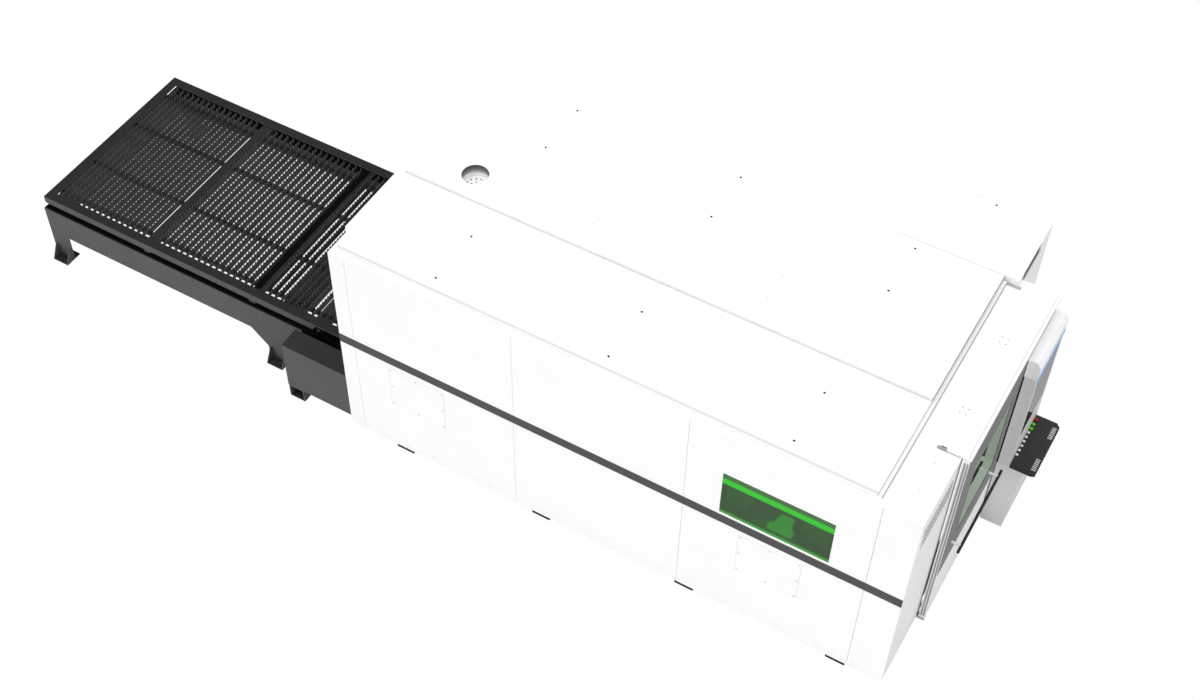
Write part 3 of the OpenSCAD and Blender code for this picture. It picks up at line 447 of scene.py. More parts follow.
    def _glaze(self, tree: Tree, finish: Glazing) -> None:
        """Tinted sheet: (1 - share) of clear tint and share of mirror, with a faint clouding; glow steps add
        painted light to the clear part.

        Args:
            tree: Node tree of the material.
            finish: The glazing to make.
        """
        output = tree.nodes.new("ShaderNodeOutputMaterial")
        clear = tree.nodes.new("ShaderNodeBsdfTransparent")
        mirror = tree.nodes.new("ShaderNodeBsdfGlossy")
        mix = tree.nodes.new("ShaderNodeMixShader")
        cloud = self._noise(tree, finish.scale, self.EVEN, self.FINE_DETAIL)
        tint = self._ramp(tree, cloud, tuple(self.TINT_CLOUD * c for c in finish.tint), finish.tint)
        shine = self._ramp(tree, cloud, tuple(self.MIRROR_CLOUD * c for c in finish.mirror), finish.mirror)
        mirror.inputs["Roughness"].default_value = self.MIRROR_ROUGH
        mix.inputs["Fac"].default_value = finish.share
        tree.links.new(tint.outputs["Color"], clear.inputs["Color"])
        tree.links.new(shine.outputs["Color"], mirror.inputs["Color"])
        through = clear.outputs["BSDF"]
        # Painted light: the glow steps emit over the height, standing in for the lit inside seen through the
        # glass.
        if finish.glow:
            glow = tree.nodes.new("ShaderNodeEmission")
            total = tree.nodes.new("ShaderNodeAddShader")
            steps = self._height_ramp(tree, (0.0, self.STEP_HEIGHT), finish.glow, Blend.STEPPED)
            tree.links.new(steps, glow.inputs["Color"])
            tree.links.new(through, total.inputs[0])
            tree.links.new(glow.outputs["Emission"], total.inputs[1])
            through = total.outputs["Shader"]
        tree.links.new(through, mix.inputs[1])
        tree.links.new(mirror.outputs["BSDF"], mix.inputs[2])
        tree.links.new(mix.outputs["Shader"], output.inputs["Surface"])

    def _light(self, tree: Tree, finish: Lamp) -> None:
        """An emission that is mottled by 6 percent, for a lit diffuser and for painted light.

        Args:
            tree: Node tree of the material.
            finish: The lamp to make.
        """
        output = tree.nodes.new("ShaderNodeOutputMaterial")
        glow = tree.nodes.new("ShaderNodeEmission")
        cloud = self._noise(tree, finish.scale, self.EVEN, self.FINE_DETAIL)
        ramp = self._ramp(tree, cloud, tuple(self.LAMP_MOTTLE * c for c in finish.colour), finish.colour)
        glow.inputs["Strength"].default_value = finish.strength
        tree.links.new(ramp.outputs["Color"], glow.inputs["Color"])
        tree.links.new(glow.outputs["Emission"], output.inputs["Surface"])


@dataclass
class Solid:
    """Collects simple bodies into one mesh.

    Attributes:
        verts: Vertex blocks, each an (n, 3) array.
        faces: Faces as vertex numbers into the joined blocks.
        count: Number of vertices in all blocks.
    """

    verts: list[np.ndarray] = field(default_factory=list)
    faces: list[tuple[int, ...]] = field(default_factory=list)
    count: int = 0

    def add(self, points: np.ndarray, faces: Iterable[Sequence[int]]) -> None:
        """Adds a block of points and its faces.

        Args:
            points: An (n, 3) array of points.
            faces: Faces, numbered from the block's first point.
        """
        self.verts.append(np.asarray(points, float))
        self.faces.extend(tuple(int(i) + self.count for i in face) for face in faces)
        self.count += len(points)

    def box(self, low: Point, high: Point) -> None:
        """Adds an axis-aligned box: p(g) = low + g (high - low) for the eight corners g of a unit cube.

        Args:
            low: Corner with the lowest coordinates.
            high: Corner with the highest coordinates.
        """
        grid = np.indices((2, 2, 2)).reshape(3, -1)[::-1].T
        points = np.asarray(low) + grid * (np.asarray(high) - np.asarray(low))
        self.add(points, [(0, 2, 3, 1), (4, 5, 7, 6), (0, 1, 5, 4), (2, 6, 7, 3), (0, 4, 6, 2), (1, 3, 7, 5)])

    def rod(self, start: Point, end: Point, radius: float, sides: int) -> None:
        """Adds a closed cylinder: p(t, a) = start + t d + r (u cos a + v sin a).

        Args:
            start: Middle of the first end.
            end: Middle of the second end.
            radius: Radius r.
            sides: Number of sides.
        """
        a, b = np.asarray(start, float), np.asarray(end, float)
        d = (b - a) / np.linalg.norm(b - a)
        side = np.array([1.0, 0.0, 0.0]) if abs(d[0]) < 0.9 else np.array([0.0, 1.0, 0.0])
        u = np.cross(d, side)
        u /= np.linalg.norm(u)
        v = np.cross(d, u)
        angle = np.linspace(0, 2 * math.pi, sides, endpoint=False)
        ring = radius * (np.cos(angle)[:, None] * u + np.sin(angle)[:, None] * v)
        faces = [(i, (i + 1) % sides, sides + (i + 1) % sides, sides + i) for i in range(sides)]
        faces += [tuple(reversed(range(sides))), tuple(range(sides, 2 * sides))]
        self.add(np.vstack([a + ring, b + ring]), faces)

    def make(self, name: str, material: Material, body: Body) -> Piece:
        """Makes the mesh object and lets it ride on a body.

        Args:
            name: Name of the piece.
            material: Its finish.
            body: The body that carries it.

        Returns:
            The new object.
        """
        mesh = bpy.data.meshes.new(name)
        mesh.from_pydata(np.vstack(self.verts).tolist(), [], self.faces)
        mesh.materials.append(material)
        mesh.validate()
        piece = bpy.data.objects.new(name, mesh)
        bpy.context.scene.collection.objects.link(piece)
        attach(piece, body.value)
        return piece


class Dresser:
    """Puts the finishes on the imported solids."""

    def __init__(self, shop: MaterialShop) -> None:
        """Keeps the shop that makes the materials."""
        self.shop = shop

    def run(self) -> None:
        """Gives every node its finish; a node with no entry is white."""
        for name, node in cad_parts.items():
            node.data.materials.clear()
            node.data.materials.append(self.shop.get(NODE_FINISH.get(name, WHITE)))
        LOG.info("dressed %d nodes", len(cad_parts))


@dataclass
class SlatGrid:
    """The pallet's saw-tooth slats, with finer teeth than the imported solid.

    Attributes:
        pitch: Distance between slats.
        tooth: Pitch of the teeth.
        depth: Depth of the teeth.
        thick: Thickness of a slat.
        flange: Width of the pallet's rim.
        beam: Width of a cross beam.
        free: Share of a pitch that is left free before the first cross beam.
        overhang: Length over which the foot is cut back at both ends.
        notch: Height of that cut.
        sink: How far the feet sit down in notches of the bars.
    """

    pitch: float = 0.058
    tooth: float = 0.035
    depth: float = 0.026
    thick: float = 0.005
    flange: float = 0.080
    beam: float = 0.060
    free: float = 0.6
    overhang: float = 0.075
    notch: float = 0.041
    sink: float = 0.008

    def positions(self, low: Vector, high: Vector) -> np.ndarray:
        """Spaces the slats along X, in three even fields between the beams.

        Args:
            low: Lowest corner of the pallet's frame.
            high: Highest corner of the pallet's frame.

        Returns:
            The X of every slat's middle.
        """
        length = high.x - low.x
        cross = [low.x + i * length / 3 for i in (1, 2)]
        half = self.beam / 2
        ends = [low.x + self.flange, cross[0] - half - self.free * self.pitch, cross[0] + half,
                cross[1] - half, cross[1] + half, high.x - self.flange]
        fields = []
        for x0, x1 in zip(ends[0::2], ends[1::2]):
            count = int((x1 - x0) / self.pitch + 1e-6)
            fields.append(x0 + (np.arange(count) + 0.5) * (x1 - x0) / count)
        return np.concatenate(fields)

    def build(self, material: Material) -> Piece:
        """Builds all slats as one piece.

        The top edge is a triangle wave, z(y) = top - depth |1 - 2 frac(y / tooth)|, sampled at
        every tip and every root, and each slat is that strip given its thickness.

        Args:
            material: Finish of the slats.

        Returns:
            The slat piece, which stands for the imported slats.
        """
        low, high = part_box("pallet_frame")
        slat_low, slat_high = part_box("pallet_slats")
        width = slat_high.y - slat_low.y
        steps = 2 * int(width / self.tooth)
        n = steps + 1
        y = np.linspace(slat_low.y, slat_high.y, n)
        top = slat_high.z - self.depth * (1 - np.arange(n) % 2)
        reach = np.minimum(y - slat_low.y, slat_high.y - y)
        foot = slat_low.z - self.sink + np.where(reach < self.overhang, self.notch, 0.0)
        faces = [(a * n + j, b * n + j, b * n + j + 1, a * n + j + 1)
                 for a, b in ((1, 0), (2, 1), (3, 2), (0, 3)) for j in range(steps)]
        faces += [(0, n, 2 * n, 3 * n), (n - 1, 4 * n - 1, 3 * n - 1, 2 * n - 1)]
        solid = Solid()
        for x in self.positions(low, high):
            rows = [np.column_stack([np.full_like(y, x + s * self.thick / 2), y, z])
                    for s, z in ((-1, foot), (-1, top), (1, top), (1, foot))]
            solid.add(np.vstack(rows), faces)
        piece = solid.make("slat_grid", material, Body.PALLET)
        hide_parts("pallet_slats")
        return piece


@dataclass
class KeyboardDetail:
    """Small marks on the keyboard tray.

    Attributes:
        slits: Number of slits in each group.
        pitch: Distance between slits.
        length: Length of a slit along X.
        width: Width of a slit along Y.
        front: Distance of the slits from the tray's front edge.
        near: Distance of the first group from the tray's end at low Y.
        far: Distance of the second group from the tray's end at high Y.
        proud: How far a slit reaches over the tray's face, and under it.
    """

    slits: int = 8
    pitch: float = 0.016
    length: float = 0.034
    width: float = 0.0055
    front: float = 0.012
    near: float = 0.035
    far: float = 0.045
    proud: float = 0.001

    def build(self, material: Material) -> Piece:
        """Adds two groups of pale slits near the tray's front corners.

        Args:
            material: Finish of the slits.

        Returns:
            The slit piece.
        """
        low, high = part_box("keyboard_tray")
        solid = Solid()
        for start in (low.y + self.near, high.y - self.far - self.slits * self.pitch):
            for i in range(self.slits):
                y = start + i * self.pitch
                solid.box((high.x - self.front - self.length, y, high.z - self.proud),
                          (high.x - self.front, y + self.width, high.z + self.proud))
        return solid.make("tray_slits", material, Body.MACHINE)


@dataclass
class RoofScrews:
    """Small screws on the roof sheets and on the cap strip.

    Attributes:
        radius: Radius of a screw head.
        height: Height of a screw head.
        sides: Number of sides of a screw head.
        trim: How far the trim band stands out of the long side.
        seam: Distance of a pair of screws from the front seam of its sheet.
        pair: Distances of a pair's two screws from the long side.
        strip: Distances of the cap strip's screws from its front and from the long side.
    """

    radius: float = 0.006
    height: float = 0.002
    sides: int = 12
    trim: float = 0.003
    seam: float = 0.02
    pair: tuple[float, float] = (1.18, 1.43)
    strip: tuple[tuple[float, float], ...] = ((0.14, 0.25), (0.14, 0.50))

    def build(self, material: Material) -> Piece:
        """Adds the screw pairs beside the seams of the right roof and those on the front strip.

        Args:
            material: Finish of the screws.

        Returns:
            The screw piece.
        """
        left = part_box("left_stripe")[0].y + self.trim
        spots = []
        for name in RIGHT_ROOF[:2]:
            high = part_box(name)[1]
            spots += [(high.x - self.seam, left + y, high.z) for y in self.pair]
        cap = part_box("roof_cap")[1]
        spots += [(cap.x - x, left + y, cap.z) for x, y in self.strip]
        solid = Solid()
        for x, y, z in spots:
            solid.rod((x, y, z), (x, y, z + self.height), self.radius, self.sides)
        return solid.make("roof_screws", material, Body.MACHINE)


@dataclass
class PlugCentres:
    """Dark centres of the roof's lifting plugs.

    Attributes:
        radius: Radius of a centre.
        height: Height of a centre over its plug.
        sides: Number of sides of a centre.
        reach: Distance within which points belong to one plug.
    """

    radius: float = 0.009
    height: float = 0.0006
    sides: int = 16
    reach: float = 0.04

    def build(self, material: Material) -> Piece:
        """Sets a centre on every plug; a plug is a cluster of the node's points, seen from above.

        Args:
            material: Finish of the centres.

        Returns:
            The piece with all centres.
        """
        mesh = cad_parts["roof_plugs"].data
        points = np.empty(3 * len(mesh.vertices))
        mesh.vertices.foreach_get("co", points)
        points = points.reshape(-1, 3)
        solid = Solid()
        left = np.ones(len(points), bool)
        while left.any():
            seed = points[np.argmax(left)]
            near = left & (np.linalg.norm(points[:, :2] - seed[:2], axis=1) < self.reach)
            left &= ~near
            low, high = points[near].min(axis=0), points[near].max(axis=0)
            spot = ((low[0] + high[0]) / 2, (low[1] + high[1]) / 2, high[2])
            solid.rod(spot, (spot[0], spot[1], spot[2] + self.height), self.radius, self.sides)
        return solid.make("plug_centres", material, Body.MACHINE)


@dataclass
class EdgeLines:
    """Fine lines where sheets meet, most of them painted shade: cover edges, roof edges, the header, and
    joints at the console.

    Attributes:
        width: Width of a cover's edge line.
        proud: Height of a line over its sheet.
        thin: Thickness of the thin plates, and the clearance beside a filled groove.
        ledge: Depth of the ledge before the roof sheets.
        rise: Height of that ledge.
        lip: Width of the line on the ledge's front edge.
        long_side: Width of the line along the roof's long side.
        middle: Width of the line beside the step in the roof.
        far_side: Width of the line along the roof's far side.
        wing: Width of the line along the wing's far side.
        foot: How far the header's foot line stands out, and how far it ends before the front.
        end_x: Start and end along X of the plate on the header's near end.
        end_z: Start and end along Z of that plate.
        strip_x: Distances behind the header of the two ends of the strip on the roof cap.
        strip_y: Distances from the header's far end of the two sides of that strip.
        groove_x: Distances of the groove's two walls from the header's front.
        groove_z: Depth of the groove.
        gap_x: Width of the gap behind the console's cap.
        gap_z: Distances of the gap's lower and upper edge from the cap's top.
        joint_x: Width of the joint beside the console.
        joint_z: Distance of the joint's ends from the console's foot and top.
        filler_z: Distances of a filler's lower and upper face from the roof's face.
    """

    width: float = 0.004
    proud: float = 0.0006
    thin: float = 0.001
    ledge: float = 0.034
    rise: float = 0.012
    lip: float = 0.005
    long_side: float = 0.024
    middle: float = 0.011
    far_side: float = 0.006
    wing: float = 0.007
    foot: tuple[float, float] = (0.010, 0.075)
    end_x: tuple[float, float] = (0.002, 0.070)
    end_z: tuple[float, float] = (0.004, 0.026)
    strip_x: tuple[float, float] = (0.140, 0.036)
    strip_y: tuple[float, float] = (0.068, 0.034)
    groove_x: tuple[float, float] = (0.028, 0.018)
    groove_z: float = 0.011
    gap_x: float = 0.0115
    gap_z: tuple[float, float] = (0.012, 0.004)
    joint_x: float = 0.018
    joint_z: float = 0.004
    filler_z: tuple[float, float] = (0.02, 0.0003)

    def covers(self, material: Material) -> Piece:
        """Paints the shade in the gap round both access covers as a narrow line on the side sheet.

        Args:
            material: Finish of the lines.

        Returns:
            The line piece.
        """
        solid = Solid()
        w = self.width
        for name in ("access_cover_rear", "access_cover_front"):
            low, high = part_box(name)
            y0, y1 = high.y - self.proud, high.y
            solid.box((low.x - w, y0, low.z - w), (high.x + w, y1, low.z))
            solid.box((low.x - w, y0, high.z), (high.x + w, y1, high.z + w))
            solid.box((low.x - w, y0, low.z), (low.x, y1, high.z))
            solid.box((high.x, y0, low.z), (high.x + w, y1, high.z))
        return solid.make("cover_gap_shade", material, Body.MACHINE)

    def hems(self, material: Material) -> Piece:
        """Paints shade on the hem along the front edge of the roof sheets and on the shaded parts of the
        header, as thin grey plates.

        Args:
            material: Finish of the lines.

        Returns:
            The line piece.
        """
        solid = Solid()
        for name in FRONT_ROOF:
            low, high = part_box(name)
            top, front = self.ledge_top(), high.x + self.ledge
            solid.box((high.x, low.y, top), (high.x + self.proud, high.y, high.z))
            solid.box((front - self.lip, low.y, top), (front + self.proud, high.y, top + self.proud))
            solid.box((front, low.y, top - self.rise), (front + self.proud, high.y, top))
        low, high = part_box("door_header")
        # Painted shade: a shadow at the header's foot, its dark end, and a shaded strip on the roof cap.
        solid.box((low.x, low.y - self.foot[0], low.z), (high.x - self.foot[1], low.y, low.z + self.thin))
        solid.box((low.x + self.end_x[0], low.y - self.thin, low.z + self.end_z[0]),
                  (low.x + self.end_x[1], low.y, low.z + self.end_z[1]))
        solid.box((low.x - self.strip_x[0], high.y - self.strip_y[0], low.z),
                  (low.x - self.strip_x[1], high.y - self.strip_y[1], low.z + self.proud))
        return solid.make("sheet_hem_shade", material, Body.MACHINE)

    def ledge_top(self) -> float:
        """Height of the ledge before the roof sheets."""
        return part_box("roof_cap")[1].z + self.rise

    def ledges(self, material: Material) -> Piece:
        """Lays the flat ledge along the front edge of the roof sheets.

        Args:
            material: Finish of the ledge.

        Returns:
            The ledge piece.
        """
        solid = Solid()
        top = self.ledge_top()
        for name in FRONT_ROOF:
            low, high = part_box(name)
            solid.box((high.x, low.y, top - self.rise), (high.x + self.ledge, high.y, top))
        return solid.make("sheet_ledges", material, Body.MACHINE)

    def seams(self, material: Material) -> Piece:
        """Paints shade as grey strips along the top edges of the roof and wing, and fills the header's groove
        and the console's gap with the same grey for their shade.

        Args:
            material: Finish of the lines.

        Returns:
            The line piece.
        """
        solid = Solid()
        low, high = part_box("roof_left")
        solid.box((low.x, low.y, high.z), (high.x, low.y + self.long_side, high.z + self.proud))
        solid.box((low.x, high.y - self.middle, high.z), (high.x, high.y, high.z + self.proud))
        for name in RIGHT_ROOF:
            low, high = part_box(name)
            solid.box((low.x, high.y - self.far_side, high.z), (high.x, high.y, high.z + self.proud))
        low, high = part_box("wing_cabinet")
        solid.box((low.x, high.y - self.wing, high.z), (high.x, high.y, high.z + self.proud))
        low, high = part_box("door_header")
        solid.box((high.x - self.groove_x[0], low.y + self.thin, high.z - self.groove_z),
                  (high.x - self.groove_x[1], high.y - self.thin, high.z - self.thin))
        low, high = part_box("console_cap")
        solid.box((low.x - self.gap_x, low.y, high.z - self.gap_z[0]),
                  (low.x, high.y, high.z - self.gap_z[1]))
        return solid.make("seam_shade_strips", material, Body.MACHINE)

    def steps(self, material: Material) -> Piece:
        """Paints shade on the upright step between the two halves of the roof.

        Args:
            material: Finish of the step.

        Returns:
            The step piece.
        """
        solid = Solid()
        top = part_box("roof_left")[1].z
        for name in RIGHT_ROOF:
            low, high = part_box(name)
            solid.box((low.x, low.y - self.proud, top + self.thin), (high.x, low.y, high.z))
        return solid.make("roof_step_shade", material, Body.MACHINE)

    def joint(self, material: Material) -> Piece:
        """Paints the shade of the open joint between the console's side and the fixed panel behind it, as a
        black strip on the side's back edge.

        Args:
            material: Finish of the joint.

        Returns:
            The joint piece.
        """
        low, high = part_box("console_cabinet")
        solid = Solid()
        solid.box((low.x, low.y - self.proud, low.z + self.joint_z),
                  (low.x + self.joint_x, low.y, high.z - self.joint_z))
        return solid.make("console_joint_shade", material, Body.MACHINE)

    def fillers(self, material: Material) -> Piece:
        """Fills the two cross seams of the right roof up to just below its face.

        Args:
            material: Finish of the filler.

        Returns:
            The filler piece.
        """
        solid = Solid()
        deep, under = self.filler_z
        for behind, ahead in zip(RIGHT_ROOF, RIGHT_ROOF[1:]):
            low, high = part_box(behind)
            solid.box((high.x, low.y, high.z - deep), (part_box(ahead)[0].x, high.y, high.z - under))
        return solid.make("roof_fillers", material, Body.MACHINE)


@dataclass
class VentShade:
    """Painted shade in the upright slots of the front column and behind the wing's louvre: black plates just
    inside the slots.

    Attributes:
        start: Distance of the first slot from the long side.
        wide: Width of the row of slots.
        drop: Distance from the roof cap to the slots' lower end.
        tall: Height of the slots.
        margin: How far the painted shade reaches past the slots on every side.
        back: Distance from the outer face to the back of the painted shade.
        under: Distance from the outer face to the front of the painted shade in the column.
        wing_under: The same distance in the wing.
        wing_y: Distances of the wing's painted shade from the wing's far side.
        wing_z: Distances of the wing's painted shade from the roof cap.
        louvre_y: Start and end of the louvre along Y.
        louvre_z: Distances of the louvre plate's lower and upper edge from the wing's top.
        plate: Thickness of the louvre plate.
        blades: Distances of the blades' lower edges from the wing's top.
        blade: Height of a blade.
        proud: How far a blade stands out of the wing.
    """

    start: float = 0.090
    wide: float = 0.474
    drop: float = 0.390
    tall: float = 0.230
    margin: float = 0.01
    back: float = 0.0055
    under: float = 0.0008
    wing_under: float = 0.0045
    wing_y: tuple[float, float] = (0.515, 0.10)
    wing_z: tuple[float, float] = (0.095, 0.04)
    louvre_y: tuple[float, float] = (0.880, 1.225)
    louvre_z: tuple[float, float] = (0.100, 0.008)
    plate: float = 0.0008
    blades: tuple[float, ...] = (0.100, 0.060, 0.016)
    blade: float = 0.008
    proud: float = 0.0012

    def build(self, material: Material) -> Piece:
        """Stands the painted shade just under the outer faces and sets the louvre's blades.

        Args:
            material: Finish of the painted shade and the blades.

        Returns:
            The piece of painted shade and blades.
        """
        low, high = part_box("front_wall")
        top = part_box("roof_cap")[1].z
        gap = self.margin
        near, foot = low.y + self.start, top - self.drop
        solid = Solid()
        solid.box((high.x - self.back, near - gap, foot - gap),
                  (high.x - self.under, near + self.wide + gap, foot + self.tall + gap))
        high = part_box("wing_cabinet")[1]
        solid.box((high.x - self.back, high.y - self.wing_y[0], top - self.wing_z[0]),
                  (high.x - self.wing_under, high.y - self.wing_y[1], top - self.wing_z[1]))
        for z in self.blades:
            solid.box((high.x, self.louvre_y[0], high.z - z),
                      (high.x + self.proud, self.louvre_y[1], high.z - z + self.blade))
        return solid.make("vent_shade_and_blades", material, Body.MACHINE)

    def louvre(self, material: Material) -> Piece:
        """Sets the louvre plate high on the wing's front face.

        Args:
            material: Finish of the plate.

        Returns:
            The plate piece.
        """
        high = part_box("wing_cabinet")[1]
        solid = Solid()
        solid.box((high.x, self.louvre_y[0], high.z - self.louvre_z[0]),
                  (high.x + self.plate, self.louvre_y[1], high.z - self.louvre_z[1]))
        return solid.make("wing_louvre", material, Body.MACHINE)


@dataclass
class AnchorBolts:
    """Anchor bolts in the floor brackets of the exchange table.

    Attributes:
        radius: Radius of a bolt's washer.
        plate: Thickness of a bracket's plate.
        along: Distance of a bolt from the brackets' outer ends along X.
        across: Distances of a bracket's two bolts from its outer side.
        washer: Height of a washer.
        head: Height of a washer and a head together.
        share: Radius of a head over that of its washer.
        washer_sides: Number of sides of a washer.
        head_sides: Number of sides of a head.
    """

    radius: float = 0.013
    plate: float = 0.008
    along: float = 0.078
    across: tuple[float, float] = (0.022, 0.064)
    washer: float = 0.002
    head: float = 0.009
    share: float = 0.6
    washer_sides: int = 20
    head_sides: int = 6

    def build(self, material: Material) -> Piece:
        """Sets a washer and a head on each bracket hole.

        Args:
            material: Finish of the bolts.

        Returns:
            The bolt piece.
        """
        low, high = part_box("table_feet")
        z = low.z + self.plate
        outer, inner = self.across
        solid = Solid()
        for x in (low.x + self.along, high.x - self.along):
            for y in (low.y + outer, low.y + inner, high.y - outer, high.y - inner):
                solid.rod((x, y, z), (x, y, z + self.washer), self.radius, self.washer_sides)
                solid.rod((x, y, z + self.washer), (x, y, z + self.head),
                          self.share * self.radius, self.head_sides)
        return solid.make("anchor_bolts", material, Body.MACHINE)


@dataclass
class BeamShade:
    """Painted shade: a black strip on the pallet's second cross beam, whose top lies in shade.

    Attributes:
        width: Width of the beam.
        rim: Width of the pallet's rim.
        drop: How far the beam's top lies under the top of the pallet's frame.
        thick: Thickness of the strip.
    """

    width: float = 0.060
    rim: float = 0.080
    drop: float = 0.012
    thick: float = 0.001

    def build(self, material: Material) -> Piece:
        """Lays the strip on the beam.

        Args:
            material: Finish of the strip.

        Returns:
            The strip piece.
        """
        low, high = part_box("pallet_frame")
        top = high.z - self.drop
        x = low.x + 2 * (high.x - low.x) / 3
        solid = Solid()
        solid.box((x - self.width / 2, low.y + self.rim, top),
                  (x + self.width / 2, high.y - self.rim, top + self.thick))
        return solid.make("beam_painted_shade", material, Body.PALLET)


@dataclass
class GantryPaintedLight:
    """Painted light: a glowing end plate on the gantry, for the cabin light falling on it, which shows
    through the side window.

    Attributes:
        outline: Corners (x, z) of the plate.
        thick: Thickness of the plate.
    """

    outline: tuple[tuple[float, float], ...] = (
        (2.705, 1.015), (2.905, 1.015), (2.918, 1.136), (2.897, 1.148), (2.910, 1.285), (2.812, 1.285),
        (2.758, 1.144), (2.724, 1.132))
    thick: float = 0.001

    def build(self, material: Material) -> Piece:
        """Sets the plate on the gantry's end face: the outline carried along Y by its thickness.

        Args:
            material: Finish of the plate.

        Returns:
            The plate piece.
        """
        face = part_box("gantry")[0].y
        x, z = np.array(self.outline).T
        n = len(x)
        rows = [np.column_stack([x, np.full(n, y), z]) for y in (face - self.thick, face)]
        faces = [tuple(range(n)), tuple(reversed(range(n, 2 * n)))]
        faces += [(i, n + i, n + (i + 1) % n, (i + 1) % n) for i in range(n)]
        solid = Solid()
        solid.add(np.vstack(rows), faces)
        return solid.make("gantry_end_painted_light", material, Body.GANTRY)


@dataclass
class DoorSeals:
    """Upright rubber seals in the narrow edge of the door leaf.

    Attributes:
        width: Width of a seal along X.
        proud: How far a seal stands out of the edge.
        sunk: How far a seal is let into the edge.
        seats: Distances of the seals from the leaf's inner face.
        margin: Distance of a seal's ends from the leaf's foot and top.
    """

    width: float = 0.012
    proud: float = 0.0012
    sunk: float = 0.001
    seats: tuple[float, float] = (0.010, 0.029)
    margin: float = 0.03

    def build(self, material: Material) -> Piece:
        """Sets two seals along the hinge edge of the leaf.

        Args:
            material: Finish of the seals.

        Returns:
            The seal piece.
        """
        low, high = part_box("front_door")
        solid = Solid()
        for seat in self.seats:
            x = low.x + seat
            solid.box((x, low.y - self.proud, low.z + self.margin),
                      (x + self.width, low.y + self.sunk, high.z - self.margin))
        return solid.make("door_seals", material, Body.DOOR)


@dataclass(frozen=True)
class Sun:
    """A distant light.

    Attributes:
        name: Name of the light.
        energy: Its strength.
        spread: Angle of its disc in degrees.
        heading: Direction in which it shines.
    """

    name: str
    energy: float
    spread: float
    heading: Point


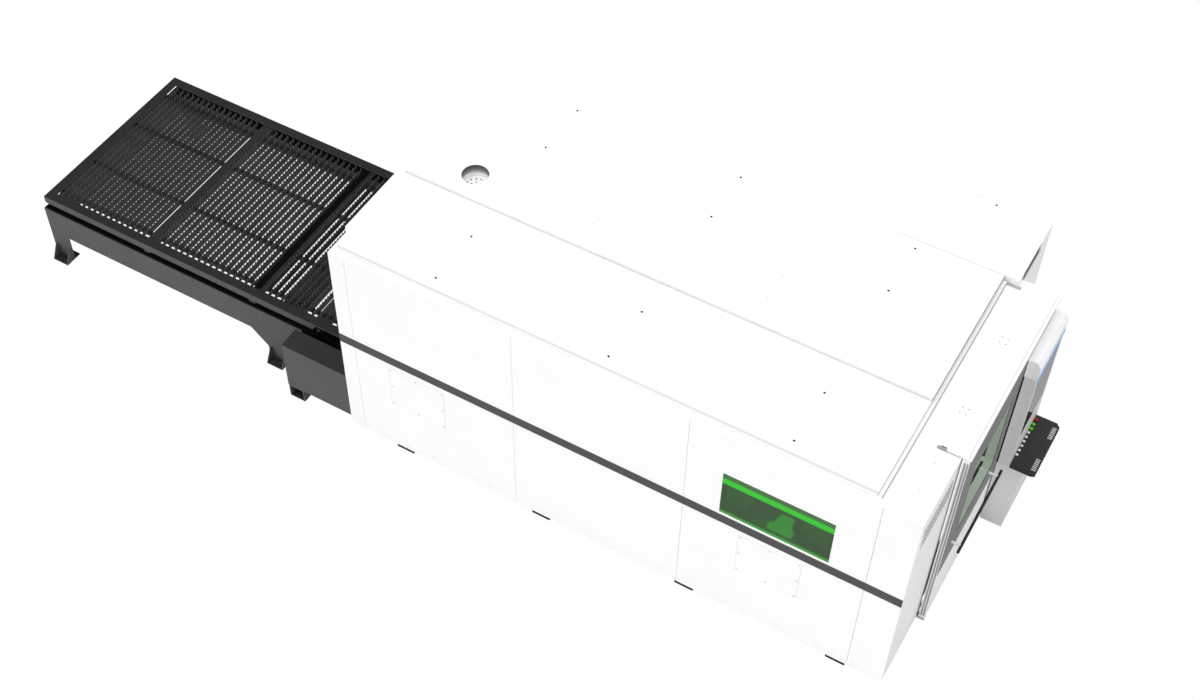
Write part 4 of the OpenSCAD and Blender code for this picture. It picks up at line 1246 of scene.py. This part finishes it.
@dataclass
class Studio:
    """Floor, lights and camera.

    Attributes:
        eye: Camera position.
        ahead: Viewing direction.
        right: Direction to the picture's right.
        lens: Focal length for the sensor's width, in millimetres.
        sensor: Width of the sensor in millimetres.
        clip: Distance up to which the camera sees.
        half: Half the length of the floor's sides.
        drop: How far the floor lies under the part.
        mirrored: Strength of the floor in reflections.
        matt: Colour of the floor for all other light.
        sky: Strength of the white sky.
        suns: The distant lights.
        port_power: Power of the small lamp in the fume port.
        port_size: Radius of that lamp.
        port_depth: How far it hangs under the port's rim.
    """

    eye: Point = (5.090, -8.1535, 11.525)
    ahead: Point = (-0.3082, 0.5604, -0.7688)
    right: Point = (0.8662, 0.4993, 0.0167)
    lens: float = 53.59
    sensor: float = 36.0
    clip: float = 200.0
    half: float = 60.0
    drop: float = 0.002
    mirrored: float = 0.55
    matt: Colour = (0.8, 0.8, 0.8)
    sky: float = 0.73
    suns: tuple[Sun, ...] = (
        Sun("key", 0.92, 40, (0.5, 0.7, -0.5)),
        Sun("top", 1.3, 50, (0.05, 0.1, -1.0)),
        Sun("fill", 0.2, 60, (-0.65, 0.1, -0.75)),
    )
    port_power: float = 0.08
    port_size: float = 0.02
    port_depth: float = 0.02

    def floor(self) -> None:
        """Lays a pale floor that shows plain white and is grey in reflections."""
        s, z = self.half, -self.drop
        mesh = bpy.data.meshes.new("floor")
        mesh.from_pydata([(-s, -s, z), (s, -s, z), (s, s, z), (-s, s, z)], [], [(0, 1, 2, 3)])
        floor = bpy.data.objects.new("floor", mesh)
        bpy.context.scene.collection.objects.link(floor)
        material = bpy.data.materials.new("floor_white")
        material.use_nodes = True
        tree = material.node_tree
        tree.nodes.clear()
        path = tree.nodes.new("ShaderNodeLightPath")
        white = tree.nodes.new("ShaderNodeEmission")
        white.inputs["Strength"].default_value = 1.0
        grey = tree.nodes.new("ShaderNodeEmission")
        grey.inputs["Strength"].default_value = self.mirrored
        matt = tree.nodes.new("ShaderNodeBsdfDiffuse")
        matt.inputs["Color"].default_value = (*self.matt, 1.0)
        first = tree.nodes.new("ShaderNodeMixShader")
        second = tree.nodes.new("ShaderNodeMixShader")
        output = tree.nodes.new("ShaderNodeOutputMaterial")
        tree.links.new(path.outputs["Is Glossy Ray"], first.inputs["Fac"])
        tree.links.new(matt.outputs["BSDF"], first.inputs[1])
        tree.links.new(grey.outputs["Emission"], first.inputs[2])
        tree.links.new(path.outputs["Is Camera Ray"], second.inputs["Fac"])
        tree.links.new(first.outputs["Shader"], second.inputs[1])
        tree.links.new(white.outputs["Emission"], second.inputs[2])
        tree.links.new(second.outputs["Shader"], output.inputs["Surface"])
        mesh.materials.append(material)

    def lights(self) -> None:
        """Sets an even white sky, the distant lights and a small lamp in the fume port."""
        world = bpy.data.worlds.new("studio")
        bpy.context.scene.world = world
        world.use_nodes = True
        back = world.node_tree.nodes["Background"]
        back.inputs["Color"].default_value = (1.0, 1.0, 1.0, 1.0)
        back.inputs["Strength"].default_value = self.sky
        for sun in self.suns:
            light = bpy.data.lights.new(sun.name, "SUN")
            light.energy = sun.energy
            light.angle = math.radians(sun.spread)
            lamp = bpy.data.objects.new(sun.name, light)
            lamp.rotation_euler = Vector(sun.heading).to_track_quat("-Z", "Y").to_euler()
            bpy.context.scene.collection.objects.link(lamp)
        low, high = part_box("fume_port")
        inner = bpy.data.lights.new("port_lamp", "POINT")
        inner.energy = self.port_power
        inner.shadow_soft_size = self.port_size
        glow = bpy.data.objects.new("port_lamp", inner)
        glow.location = (*((low + high) / 2).xy, high.z - self.port_depth)
        bpy.context.scene.collection.objects.link(glow)

    def camera(self) -> None:
        """Sets the camera; its axes are right, up = right x ahead and minus ahead."""
        data = bpy.data.cameras.new("camera")
        data.lens = self.lens
        data.sensor_width = self.sensor
        data.sensor_fit = "HORIZONTAL"
        data.clip_end = self.clip
        back = -Vector(self.ahead).normalized()
        right = Vector(self.right).normalized()
        up = back.cross(right).normalized()
        matrix = Matrix((right, up, back)).transposed().to_4x4()
        matrix.translation = Vector(self.eye)
        camera = bpy.data.objects.new("camera", data)
        camera.matrix_world = matrix
        bpy.context.scene.collection.objects.link(camera)
        bpy.context.scene.camera = camera

    def build(self) -> None:
        """Builds the whole stage and sets the plain view transform."""
        self.floor()
        self.lights()
        self.camera()
        bpy.context.scene.view_settings.view_transform = "Standard"


def main() -> None:
    """Dresses the solids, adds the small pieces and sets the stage."""
    logging.basicConfig(level=logging.INFO)
    shop = MaterialShop()
    Dresser(shop).run()
    vents = VentShade()
    lines = EdgeLines()
    pieces: tuple[tuple[Callable[[Material], Piece], Finish | Lamp], ...] = (
        (SlatGrid().build, SLAT),
        (KeyboardDetail().build, IVORY),
        (RoofScrews().build, STEEL),
        (PlugCentres().build, RUBBER),
        (BeamShade().build, BEAM),
        (DoorSeals().build, SEAL),
        (GantryPaintedLight().build, GANTRY_PAINTED_LIGHT),
        (vents.build, BEAM),
        (vents.louvre, MID),
        (AnchorBolts().build, RUBBER),
        (lines.covers, LINE),
        (lines.hems, SHADE),
        (lines.ledges, WHITE),
        (lines.seams, SEAM_SHADE),
        (lines.steps, STEP_SHADE),
        (lines.fillers, WHITE),
        (lines.joint, BEAM),
    )
    for build, finish in pieces:
        piece = build(shop.get(finish))
        LOG.info("built %s with %d faces", piece.name, len(piece.data.polygons))
    Studio().build()


if __name__ == "__main__":
    main()
